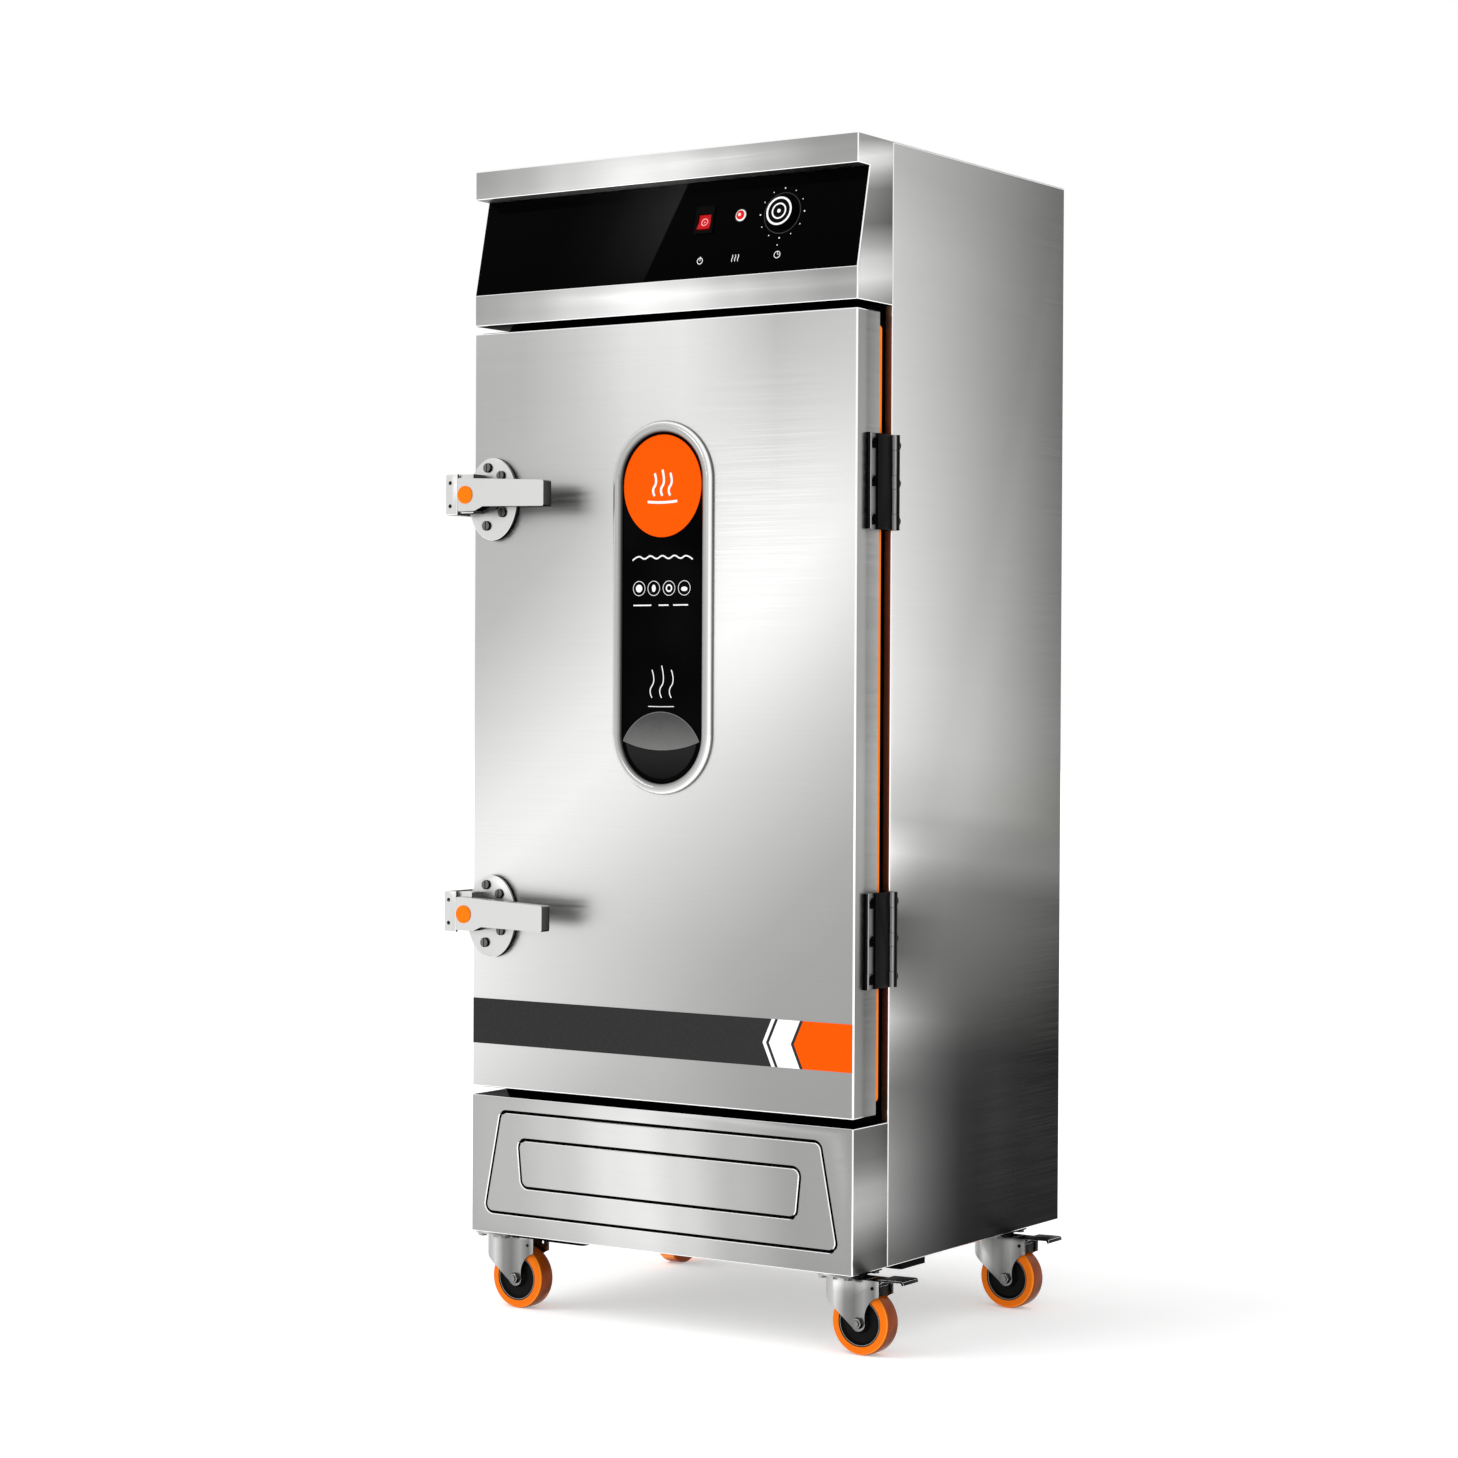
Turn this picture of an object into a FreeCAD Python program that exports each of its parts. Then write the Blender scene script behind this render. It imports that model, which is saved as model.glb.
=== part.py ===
import FreeCAD, Part
import math
import os

# Rice steamer cabinet on four casters, in millimetres.
# +Z is up and -Y is the front. The origin is on the floor, under the middle of the
# cabinet's plan. The cabinet is made of folded stainless sheet round an insulated steam
# chamber, with a water tank and immersion heaters below the trays.

V = FreeCAD.Vector

# Cabinet
body_width = 700.0
body_depth = 630.0
ride_height = 120.0            # floor to the underside of the base
plinth_height = 214.0
door_gap_below = 13.0
door_height = 1174.5
door_gap_above = 11.5
head_height = 241.0
front_projection = 98.0        # head, door and plinth stand this far in front of the carcass
sheet = 1.5
base_sheet = 2.0
insulation = 37.0
flange_width = 20.0            # side panels' fold behind the door frame

# Chamber, tank and door frame
mouth_margin = 40.0            # door overlaps the mouth by this much above and below
frame_width = 28.0
tank_depth = 139.0
base_foam_depth = 40.0

# Door
door_thickness = 62.5
seal_thickness = 11.0
seal_gap = 0.4
seal_width = 24.0
seal_side_inset = 3.0
seal_end_inset = 18.0
plug_depth = 21.5
plug_margin = 12.0

# Head
head_box_height = 48.5
head_lip_height = 44.5
head_recess = 33.0
glass_thickness = 4.0
panel_part_clearance = 0.4

# Plinth face
plinth_sheet = 2.0
groove_width = 3.2
groove_depth = 1.1
groove_radius = 13.0
outer_groove_low = 32.5
outer_groove_high = 191.0
outer_groove_bottom_margin = 25.5
outer_groove_top_margin = 56.5
inner_groove_low = 75.5
inner_groove_high = 150.0
inner_groove_bottom_margin = 97.5
inner_groove_top_margin = 90.0

# Controls on the sloping panel: x across, and height up the slope from its foot
switch_inset = 279.5           # from the cabinet's right-hand side
switch_height = 90.0
bezel_width = 33.0
bezel_height = 43.0
bezel_thickness = 2.5
rocker_drop = 3.5
rocker_width = 22.4
rocker_length = 23.0
rocker_rise = 3.2
rocker_valley = 1.6
rocker_depth = 6.0
rocker_pivot_depth = 1.0
rocker_tilt = 9.0
rocker_side_gap = 0.4
rocker_end_gap = 1.1
switch_pocket_depth = 10.0
switch_barrel_wall = 1.8
switch_barrel_depth = 30.0
trunnion_radius = 1.5
trunnion_length = 1.2
lamp_inset = 214.8
lamp_height = 92.0
lamp_flange_radius = 11.0
lamp_flange_thickness = 2.0
lamp_dome_radius = 8.6
lamp_dome_height = 4.0
lamp_barrel_radius = 6.0
lamp_barrel_depth = 28.0
timer_inset = 142.0
timer_height = 90.4
knob_radius = 23.0
knob_skirt = 4.0
knob_cap_radius = 22.5
knob_height = 10.0
knob_gap = 0.6
timer_shaft_radius = 3.0
timer_bushing_radius = 5.0
timer_bushing_rise = 1.4
timer_shaft_engagement = 13.0
timer_body_size = 52.0
timer_body_depth = 38.0
running_clearance = 0.07

# Contactor on the right-hand wall of the electrics space
contactor_width = 45.0
contactor_depth = 78.0
contactor_height = 82.0
contactor_terminal_step = 16.0
contactor_setback = 120.0
contactor_below_top = 134.0

# Door badge: a long ring with a black panel
badge_x = 11.0
badge_above_door_bottom = 463.0
badge_length = 562.0
badge_width = 182.0
badge_band = 19.0
badge_rise = 9.0
badge_edge_radius = 8.0
badge_panel_thickness = 3.0

# Latches
latch_inset = 42.0             # spindle from the cabinet's left-hand side
upper_latch_below_door_top = 256.0
lower_latch_above_door_bottom = 270.5
base_half_width = 47.0
base_half_height = 64.0
base_drop = 3.0                # oval sits a little below the spindle
base_plate_thickness = 5.0
latch_gasket_thickness = 3.0
latch_boss_radius = 20.0
latch_boss_rise = 3.0
guide_left = 43.5              # guide block, measured from the spindle
guide_right = 17.0
guide_low = 25.0
guide_high = 35.0
lever_face = 55.0              # in front of the door face
lever_thickness = 20.0
lever_wall = 2.5
lever_neck_radius = 15.0
lever_gap = 0.5
spindle_radius = 6.0
lever_outline = [
    (-32.0, 28.4), (-32.0, -23.3), (1.0, -23.3), (17.0, -16.5), (134.0, -19.0), (134.0, 20.7)
]
lever_corner = 3.0
cap_x = -17.0
cap_z = 2.0
cap_radius = 13.8
cap_thickness = 2.0
latch_screws = [(-9.0, 46.0), (17.0, 33.0), (20.0, -24.0), (-11.0, -44.0)]
latch_screw_head_radius = 7.5
latch_screw_head_rise = 4.0
latch_screw_radius = 3.0
screw_clearance = 0.1
slot_width = 1.6
slot_depth = 1.6

# Keepers on the left-hand side panel
keeper_left = 25.5             # outside the cabinet's side
keeper_right = 2.5
keeper_face = 40.0             # in front of the door face
keeper_plate = 6.0
keeper_web = 4.0
keeper_low = 27.5
keeper_high = 35.5
keeper_foot_length = 48.0
keeper_screw_radius = 3.0
keeper_screw_head_radius = 5.0
keeper_screw_head_rise = 3.0
keeper_screw_spread = 18.0
keeper_hole_spread = 17.9
keeper_hole_shift = 2.5
keeper_hole_radius = 3.2

# Hinges
upper_hinge_below_door_top = 248.5
lower_hinge_above_door_bottom = 256.5
pin_outboard = 7.0
pin_setback = 97.0
pin_radius = 3.0
barrel_radius = 6.5
knuckles = [23.0, 37.0, 20.0, 37.0, 23.0]
knuckle_gap = 0.5
leaf_thickness = 3.0
leaf_rib_thickness = 6.0
leaf_setback = 25.0
leaf_rim = 7.0
leaf_channel = 18.0
leaf_clearance = 0.8
hinge_screw_spread = 55.5
hinge_screw_radius = 3.0
hinge_screw_head_radius = 8.0
hinge_screw_head_rise = 2.8
hinge_bolt_setback = 14.0
hinge_bolt_head_radius = 7.0
hinge_bolt_head_rise = 4.0
lug_end_radius = 8.0

# Tray rack
tray_pairs = 12
first_tray_above_mouth = 41.0
last_tray_below_mouth_top = 107.5
runner_setback = 110.0
runner_end_gap = 30.0
runner_ledge = 22.0
runner_thickness = 3.0
upright_thickness = 6.0
upright_width = 20.0
front_upright_setback = 140.0
rear_upright_gap = 50.0
upright_foot_below_mouth = 9.0
upright_head_room = 13.0

# Heaters and the guard above them
heater_pitch = 140.0
heater_count = 3
heater_end_gap = 54.0
heater_tube_radius = 5.0
heater_leg_spacing = 36.0
heater_above_floor = 36.0
heater_flange_radius = 38.0
heater_flange_thickness = 5.0
heater_hole_radius = 26.0
heater_terminal_length = 22.0
guard_height = 102.0
guard_margin = 1.0
guard_leg_width = 40.0
guard_slot_length = 70.0
guard_slot_width = 9.0
guard_slot_pitch_x = 100.0
guard_slot_pitch_y = 30.0
guard_slot_columns = 5
guard_slot_rows = 14
float_window_half = 42.0
float_window_reach = 165.0

# Water inlet with its float
inlet_inset = 120.0
inlet_above_floor = 88.0
inlet_radius = 10.5
inlet_bore_radius = 6.0
inlet_stub = 24.0
inlet_inside = 26.0
inlet_nut_radius = 16.0
inlet_nut_thickness = 6.0
float_pin_radius = 2.5
float_arm_width = 8.0
float_cheek = 4.0
float_arm_length = 100.0
float_arm_drop = 52.0
float_arm_radius = 3.0
float_ball_radius = 27.0

# Drain
drain_inset = 140.0
drain_end_inset = 90.0
drain_radius = 13.5
drain_bore_radius = 10.5
drain_above_base = 48.0
drain_stub = 14.0
drain_flange_radius = 22.0
drain_flange_thickness = 3.0
valve_radius = 19.0
valve_length = 34.0
valve_outlet_radius = 13.2
valve_outlet_length = 16.0
valve_stem_radius = 4.0
valve_stem_boss_radius = 8.0
valve_stem_boss_rise = 6.0
valve_lever_length = 82.0
valve_lever_width = 16.0
valve_lever_thickness = 3.0

# Steam outlet and cable entry
vent_below_mouth_top = 45.5
vent_radius = 16.0
vent_bore_radius = 14.0
vent_stub = 32.0
vent_flange_radius = 26.0
vent_flange_thickness = 3.0
gland_inset = 100.0
gland_below_top = 124.0
gland_thread_radius = 10.0
gland_hex_radius = 13.5
gland_hex_thickness = 6.0
gland_dome_radius = 11.5
gland_dome_length = 16.0
gland_bore_radius = 6.0
gland_inside = 10.0
louvre_length = 70.0
louvre_width = 5.0
louvre_pitch = 14.0
louvre_count = 7
louvre_inset = 200.0
louvre_below_top = 164.0

# Casters
caster_side_inset = 36.0
caster_front_inset = 48.0
caster_rear_inset = 140.0
caster_plate_x = 64.0
caster_plate_y = 92.0
caster_plate_thickness = 3.0
bolt_spacing_x = 45.0
bolt_spacing_y = 74.0
bolt_radius = 4.0
bolt_hole_radius = 4.25
bolt_head_across = 13.0
bolt_head_height = 4.4
bolt_nut_height = 6.5
crown_radius = 28.0
crown_gap = 0.3
kingpin_radius = 6.0
kingpin_head_radius = 10.0
kingpin_head_height = 3.0
wheel_radius = 48.0
wheel_width = 34.0
wheel_shoulder = 5.0
hub_radius = 35.5
hub_dish = 5.0
hub_rim = 4.0
hub_boss_radius = 13.0
hub_boss_width = 36.0
axle_radius = 5.0
axle_nut_across = 15.0
axle_nut_height = 6.0
caster_trail = 29.0
fork_sheet = 2.5
fork_inner_width = 37.0
fork_top = 112.0
fork_nose = 35.0
fork_tail = 64.0
fork_roof_end = 40.0
fork_ear_radius = 12.0
pedal_pivot_x = 53.0
pedal_pivot_z = 101.0
pedal_pin_radius = 2.5
pedal_width = 34.0
pedal_tip_width = 42.0
pedal_sheet = 3.0
pedal_tip_x = 106.0
pedal_top = 116.2
shoe_thickness = 7.0
shoe_gap = 3.2

# Rubber pads under the base
pad_length = 75.0
pad_width = 45.0
pad_thickness = 14.0
pad_corner = 6.0
left_pad_inset = 143.0
left_pad_setback = 72.5
right_pad_inset = 36.5
right_pad_setback = 198.0

# Levels and planes that follow from the sizes above
half = body_width / 2
front = -body_depth / 2
back = body_depth / 2
inner_half = half - sheet
carcass_front = front + front_projection
plinth_top = ride_height + plinth_height
door_bottom = plinth_top + door_gap_below
door_top = door_bottom + door_height
door_back = front + door_thickness
head_bottom = door_top + door_gap_above
body_top = head_bottom + head_height
chamber_half = inner_half - insulation - sheet
chamber_back = back - 2 * sheet - insulation
mouth_bottom = door_bottom + mouth_margin
mouth_top = door_top - mouth_margin
frame_front = door_back + seal_thickness + seal_gap
frame_half = chamber_half + frame_width
tank_floor = mouth_bottom - tank_depth
liner_half = chamber_half + sheet
liner_back = chamber_back + sheet
liner_bottom = tank_floor - sheet
liner_top = mouth_top + sheet
panel_foot = head_bottom + head_box_height
panel_head = body_top - head_lip_height
panel_length = math.hypot(head_recess, panel_head - panel_foot)
panel_lean = math.degrees(math.atan2(head_recess, panel_head - panel_foot))
inlet_level = tank_floor + inlet_above_floor
drain_level = ride_height + drain_above_base
vent_level = mouth_top - vent_below_mouth_top
gland_level = body_top - gland_below_top
louvre_level = body_top - louvre_below_top
contactor_level = body_top - contactor_below_top
badge_low = door_bottom + badge_above_door_bottom
badge_high = badge_low + badge_length
latch_levels = {"upper": door_top - upper_latch_below_door_top,
                "lower": door_bottom + lower_latch_above_door_bottom}
hinge_levels = {"upper": door_top - upper_hinge_below_door_top,
                "lower": door_bottom + lower_hinge_above_door_bottom}
tray_pitch = (mouth_top - last_tray_below_mouth_top - mouth_bottom - first_tray_above_mouth) / (tray_pairs - 1)
switch_x = half - switch_inset
lamp_x = half - lamp_inset
timer_x = half - timer_inset
latch_x = -half + latch_inset
inlet_x = -half + inlet_inset
drain_x = half - drain_inset
drain_y = back - drain_end_inset
gland_x = half - gland_inset
louvre_x = -half + louvre_inset
heater_positions = [drain_x - heater_pitch * i for i in range(heater_count)]
heater_end = chamber_back - heater_end_gap
runner_start = front + runner_setback
runner_end = chamber_back - runner_end_gap
caster_x = half - caster_side_inset
left_pad_x = -half + left_pad_inset
right_pad_x = half - right_pad_inset

nodes = {}
door_screws = []


def block(x0, x1, y0, y1, z0, z1):
    return Part.makeBox(x1 - x0, y1 - y0, z1 - z0, V(x0, y0, z0))


def rod(radius, start, direction, length):
    return Part.makeCylinder(radius, length, V(*start), V(*direction))


def tube(radius, bore, start, direction, length):
    return rod(radius, start, direction, length).cut(rod(bore, start, direction, length))


def union(shapes):
    whole = shapes[0]
    for shape in shapes[1:]:
        whole = whole.fuse(shape)
    return whole.removeSplitter()


def without(shape, cutters):
    for cutter in cutters:
        shape = shape.cut(cutter)
    return shape


def spatial(axis, a, b, offset):
    # A point of a profile drawn in the plane square to the axis.
    if axis == "x":
        return V(offset, a, b)
    if axis == "y":
        return V(a, offset, b)
    return V(a, b, offset)


def outline(points, axis, offset, radius=0.0):
    # Closed wire through the points, with every corner rounded to the radius.
    corners = [spatial(axis, a, b, offset) for a, b in points]
    entries = []
    exits = []
    middles = []
    for i, corner in enumerate(corners):
        before = (corners[i - 1] - corner).normalize()
        after = (corners[(i + 1) % len(corners)] - corner).normalize()
        half_angle = before.getAngle(after) / 2
        run = radius / math.tan(half_angle)
        inward = (before + after).normalize()
        entries.append(corner + before * run)
        exits.append(corner + after * run)
        middles.append(corner + inward * (radius / math.sin(half_angle) - radius))
    edges = []
    for i in range(len(corners)):
        if radius > 0:
            edges.append(Part.Arc(entries[i], middles[i], exits[i]).toShape())
        following = entries[(i + 1) % len(corners)]
        if (following - exits[i]).Length > 1e-6:
            edges.append(Part.LineSegment(exits[i], following).toShape())
    return Part.Wire(edges)


def prism(points, axis, low, high, radius=0.0):
    # Solid between two planes square to the axis, from an outline with rounded corners.
    face = Part.Face(outline(points, axis, low, radius))
    return face.extrude(spatial(axis, 0, 0, high - low))


def rectangle(x0, x1, z0, z1):
    return [(x0, z0), (x1, z0), (x1, z1), (x0, z1)]


def inset(points, distances):
    # Polygon moved inward edge by edge. Points run anticlockwise.
    lines = []
    for i, (a, b) in enumerate(points):
        c, d = points[(i + 1) % len(points)]
        length = math.hypot(c - a, d - b)
        ux = (c - a) / length
        uy = (d - b) / length
        lines.append((a - uy * distances[i], b + ux * distances[i], ux, uy))
    moved = []
    for i, (x1, y1, u1, v1) in enumerate(lines):
        x0, y0, u0, v0 = lines[i - 1]
        turn = u0 * v1 - v0 * u1
        step = ((x1 - x0) * v1 - (y1 - y0) * u1) / turn
        moved.append((x0 + u0 * step, y0 + v0 * step))
    return moved


def hexagon(across, start, direction, height):
    # Hexagonal nut or bolt head along one of the axes.
    radius = across / math.sqrt(3)
    points = [V(radius * math.cos(math.radians(60 * i)), radius * math.sin(math.radians(60 * i)), 0)
              for i in range(6)]
    body = Part.Face(Part.makePolygon(points + points[:1])).extrude(V(0, 0, height))
    body.Placement = FreeCAD.Placement(V(*start), FreeCAD.Rotation(V(0, 0, 1), V(*direction)))
    return body


def slotted_screw(x, y, z, direction, head_radius, head_rise, shank_radius, shank_length):
    # Cheese-head screw. The point is where the head meets its seat, and the direction is outward.
    place = FreeCAD.Placement(V(x, y, z), FreeCAD.Rotation(V(0, 0, 1), V(*direction)))
    head = Part.makeCylinder(head_radius, head_rise)
    rim = [edge for edge in head.Edges if edge.BoundBox.ZMin > head_rise - 0.01]
    head = head.makeFillet(head_rise * 0.3, rim[:1])
    shank = Part.makeCylinder(shank_radius, shank_length, V(0, 0, -shank_length))
    slot = block(-slot_width / 2, slot_width / 2, -head_radius, head_radius,
                 head_rise - slot_depth, head_rise)
    screw = union([head, shank]).cut(slot)
    screw.Placement = place
    return screw


def dome_bolt(x, y, z, direction, head_radius, head_rise, shank_radius, shank_length):
    # Cup-head bolt. The point is where the head meets its seat, and the direction is outward.
    sphere_radius = (head_radius ** 2 + head_rise ** 2) / (2 * head_rise)
    ball = Part.makeSphere(sphere_radius, V(0, 0, head_rise - sphere_radius))
    head = ball.common(Part.makeCylinder(head_radius, head_rise))
    shank = Part.makeCylinder(shank_radius, shank_length, V(0, 0, -shank_length))
    bolt = union([head, shank])
    bolt.Placement = FreeCAD.Placement(V(x, y, z), FreeCAD.Rotation(V(0, 0, 1), V(*direction)))
    return bolt


def mirrored(shape):
    return shape.mirror(V(0, 0, 0), V(1, 0, 0))


def group(shapes):
    return Part.makeCompound(shapes)


def side_panels():
    flat = block(inner_half, half, carcass_front, back, ride_height, body_top - sheet)
    fold = block(half - flange_width, inner_half, carcass_front, carcass_front + sheet,
                 ride_height + base_sheet, body_top - sheet)
    bolt_holes = []
    for level in hinge_levels.values():
        for dz in (-hinge_screw_spread, 0, hinge_screw_spread):
            start = (inner_half - 1, front + pin_setback + hinge_bolt_setback, level + dz)
            bolt_holes.append(rod(hinge_screw_radius + screw_clearance, start, (1, 0, 0), sheet + 2))
    nodes["side_panel_right"] = without(union([flat, fold]), bolt_holes)
    keeper_holes = []
    for level in latch_levels.values():
        for dz in (-keeper_screw_spread, keeper_screw_spread):
            start = (half - sheet - 1, keeper_foot_middle(), middle_of_side(level) + dz)
            keeper_holes.append(rod(keeper_screw_radius + screw_clearance, start, (1, 0, 0), sheet + 2))
    nodes["side_panel_left"] = mirrored(without(union([flat, fold]), keeper_holes))


def keeper_foot_middle():
    return carcass_front + keeper_foot_length / 2 + keeper_web


def top_back_and_base():
    nodes["top_panel"] = block(-half, half, carcass_front, back, body_top - sheet, body_top)
    wall = block(-inner_half, inner_half, back - sheet, back, ride_height, body_top - sheet)
    holes = [
        rod(inlet_radius + screw_clearance, (inlet_x, back - 5, inlet_level), (0, 1, 0), 10),
        rod(drain_radius + screw_clearance, (drain_x, back - 5, drain_level), (0, 1, 0), 10),
        rod(vent_radius + screw_clearance, (0, back - 5, vent_level), (0, 1, 0), 10),
        rod(gland_thread_radius + screw_clearance, (gland_x, back - 5, gland_level), (0, 1, 0), 10),
    ]
    for i in range(louvre_count):
        z = louvre_level + i * louvre_pitch
        slot = rectangle(louvre_x - louvre_length / 2, louvre_x + louvre_length / 2, z, z + louvre_width)
        holes.append(prism(slot, "y", back - 5, back + 5, louvre_width * 0.45))
    nodes["back_panel"] = without(wall, holes)
    base = block(-inner_half, inner_half, front + plinth_sheet, back - sheet,
                 ride_height, ride_height + base_sheet)
    bolt_holes = [rod(bolt_hole_radius, (x, y, ride_height - 1), (0, 0, 1), base_sheet + 2)
                  for x, y in caster_bolt_places()]
    nodes["base_plate"] = without(base, bolt_holes)
    pads = []
    for x, setback, along_x, along_y in ((left_pad_x, left_pad_setback, pad_length, pad_width),
                                         (right_pad_x, right_pad_setback, pad_width, pad_length)):
        y = front + setback
        plan = rectangle(x - along_x / 2, x + along_x / 2, y - along_y / 2, y + along_y / 2)
        pads.append(prism(plan, "z", ride_height - pad_thickness, ride_height, pad_corner))
    nodes["base_pads"] = group(pads)


def chamber():
    # The liner is welded from six sheets: floor, roof, two sides, back, and the tank's front wall.
    floor = block(-liner_half, liner_half, carcass_front, liner_back, liner_bottom, tank_floor)
    floor = floor.cut(rod(drain_bore_radius, (drain_x, drain_y, liner_bottom - 1), (0, 0, 1), sheet + 2))
    roof = block(-liner_half, liner_half, carcass_front, liner_back, mouth_top, liner_top)
    side = block(chamber_half, liner_half, carcass_front, liner_back, tank_floor, mouth_top)
    rear = block(-chamber_half, chamber_half, chamber_back, liner_back, tank_floor, mouth_top)
    for radius, x, z in ((vent_radius, 0, vent_level), (inlet_radius, inlet_x, inlet_level)):
        rear = rear.cut(rod(radius + screw_clearance, (x, chamber_back - 1, z), (0, 1, 0), sheet + 2))
    tank_front = block(-chamber_half, chamber_half, carcass_front, carcass_front + sheet,
                       tank_floor, mouth_bottom)
    for x in heater_positions:
        start = (x, carcass_front - 1, tank_floor + heater_above_floor)
        tank_front = tank_front.cut(rod(heater_hole_radius, start, (0, 1, 0), sheet + 2))
    nodes["chamber_liner"] = group([floor, roof, side, mirrored(side), rear, tank_front])

    foam = block(-inner_half, inner_half, carcass_front + sheet, back - sheet,
                 liner_bottom - base_foam_depth, liner_top + base_foam_depth)
    around = block(-liner_half, liner_half, carcass_front, liner_back, liner_bottom, liner_top)
    passages = [
        rod(drain_flange_radius, (drain_x, drain_y, liner_bottom - base_foam_depth - 1),
            (0, 0, 1), base_foam_depth + 2),
        rod(vent_radius + screw_clearance, (0, liner_back - 1, vent_level), (0, 1, 0), insulation + 2),
        rod(inlet_nut_radius + 1, (inlet_x, liner_back - 1, inlet_level), (0, 1, 0), insulation + 2),
    ]
    nodes["insulation"] = without(foam, [around] + passages)

    # The door frame is four folded strips, butted at the corners, each open towards the carcass.
    def strip(x0, x1, z0, z1):
        bar = block(x0, x1, frame_front, carcass_front, z0, z1)
        return bar.cut(block(x0 + sheet, x1 - sheet, frame_front + sheet, carcass_front + 1,
                             z0 + sheet, z1 - sheet))

    post = strip(chamber_half, frame_half, plinth_top, head_bottom)
    nodes["door_frame"] = group([
        post,
        mirrored(post),
        strip(-chamber_half, chamber_half, plinth_top, mouth_bottom),
        strip(-chamber_half, chamber_half, mouth_top, head_bottom),
    ])


def tray_rack():
    runners = []
    outer = chamber_half - upright_thickness
    for i in range(tray_pairs):
        z = mouth_bottom + first_tray_above_mouth + i * tray_pitch
        runner = block(outer - runner_ledge, outer, runner_start, runner_end, z - runner_thickness, z)
        runners += [runner, mirrored(runner)]
    uprights = []
    for y in (front + front_upright_setback, chamber_back - rear_upright_gap - upright_width):
        upright = block(outer, chamber_half, y, y + upright_width,
                        mouth_bottom - upright_foot_below_mouth, mouth_top - upright_head_room)
        uprights += [upright, mirrored(upright)]
    nodes["tray_rack"] = group(runners + uprights)


def heaters():
    elements = []
    z = tank_floor + heater_above_floor
    start = carcass_front - heater_flange_thickness - heater_terminal_length
    bend = heater_leg_spacing / 2
    end = heater_end - bend - heater_tube_radius
    for x in heater_positions:
        path = Part.Wire([
            Part.LineSegment(V(x - bend, start, z), V(x - bend, end, z)).toShape(),
            Part.Arc(V(x - bend, end, z), V(x, end + bend, z), V(x + bend, end, z)).toShape(),
            Part.LineSegment(V(x + bend, end, z), V(x + bend, start, z)).toShape(),
        ])
        section = Part.Wire([Part.makeCircle(heater_tube_radius, V(x - bend, start, z), V(0, 1, 0))])
        element = path.makePipeShell([section], True, False)
        flange = rod(heater_flange_radius, (x, carcass_front - heater_flange_thickness, z),
                     (0, 1, 0), heater_flange_thickness)
        elements.append(union([element, flange]))
    nodes["heating_elements"] = group(elements)

    top = tank_floor + guard_height
    x_end = chamber_half - guard_margin
    y_front = carcass_front + sheet + guard_margin
    y_back = chamber_back - guard_margin
    guard = [block(-x_end, x_end, y_front, y_back, top - sheet, top)]
    for side in (-1, 1):
        for y in (y_front, y_back - guard_leg_width):
            low = min(side * x_end, side * (x_end - sheet))
            guard.append(block(low, low + sheet, y, y + guard_leg_width, tank_floor, top))
    window_start = chamber_back - inlet_inside - float_window_reach
    cuts = [block(inlet_x - float_window_half, inlet_x + float_window_half, window_start, y_back + 1,
                  top - sheet - 1, top + 1)]
    first_x = inlet_x + float_window_half + guard_slot_pitch_x / 2
    first_y = y_front + guard_slot_pitch_y
    for i in range(guard_slot_columns):
        for j in range(guard_slot_rows):
            x = first_x + i * guard_slot_pitch_x
            y = first_y + j * guard_slot_pitch_y
            slot = rectangle(x - guard_slot_length / 2, x + guard_slot_length / 2, y, y + guard_slot_width)
            cuts.append(prism(slot, "z", top - sheet - 1, top + 1, guard_slot_width * 0.45))
    nodes["heater_guard"] = union(guard).cut(group(cuts))


def water_inlet():
    tip = chamber_back - inlet_inside
    body = [
        rod(inlet_radius, (inlet_x, tip, inlet_level), (0, 1, 0), back + inlet_stub - tip),
        rod(inlet_nut_radius, (inlet_x, chamber_back - inlet_nut_thickness, inlet_level), (0, 1, 0),
            inlet_nut_thickness),
        hexagon(2 * inlet_nut_radius - 3, (inlet_x, back, inlet_level), (0, 1, 0), inlet_nut_thickness),
    ]
    cheek_reach = 16.0
    cheek_height = 9.0
    cheeks = []
    for side in (-1, 1):
        inner = side * (float_arm_width / 2 + running_clearance * 3)
        outer = side * (float_arm_width / 2 + float_cheek)
        cheeks.append(block(inlet_x + min(inner, outer), inlet_x + max(inner, outer),
                            tip - cheek_reach, tip + 1,
                            inlet_level - cheek_height, inlet_level + cheek_height))
    pivot = (inlet_x - inlet_radius, tip - cheek_reach / 2, inlet_level)
    bore = rod(inlet_bore_radius, (inlet_x, tip + 8, inlet_level), (0, 1, 0), back + inlet_stub)
    pin_hole = rod(float_pin_radius + running_clearance, pivot, (1, 0, 0), 2 * inlet_radius)
    nodes["inlet_valve"] = union(body + cheeks).cut(bore).cut(pin_hole)

    arm_start = tip - cheek_reach / 2
    ball_y = arm_start - float_arm_length
    ball_z = inlet_level - float_arm_drop
    eye = rod(float_pin_radius + 3.0, (inlet_x - float_arm_width / 2, arm_start, inlet_level), (1, 0, 0),
              float_arm_width)
    pin = rod(float_pin_radius, (inlet_x - float_arm_width / 2 - float_cheek, arm_start, inlet_level),
              (1, 0, 0), float_arm_width + 2 * float_cheek)
    reach = V(0, ball_y - arm_start, ball_z - inlet_level)
    arm = Part.makeCylinder(float_arm_radius, reach.Length, V(inlet_x, arm_start, inlet_level), reach)
    ball = Part.makeSphere(float_ball_radius, V(inlet_x, ball_y, ball_z))
    nodes["float_arm"] = union([eye, pin, arm, ball])


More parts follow.
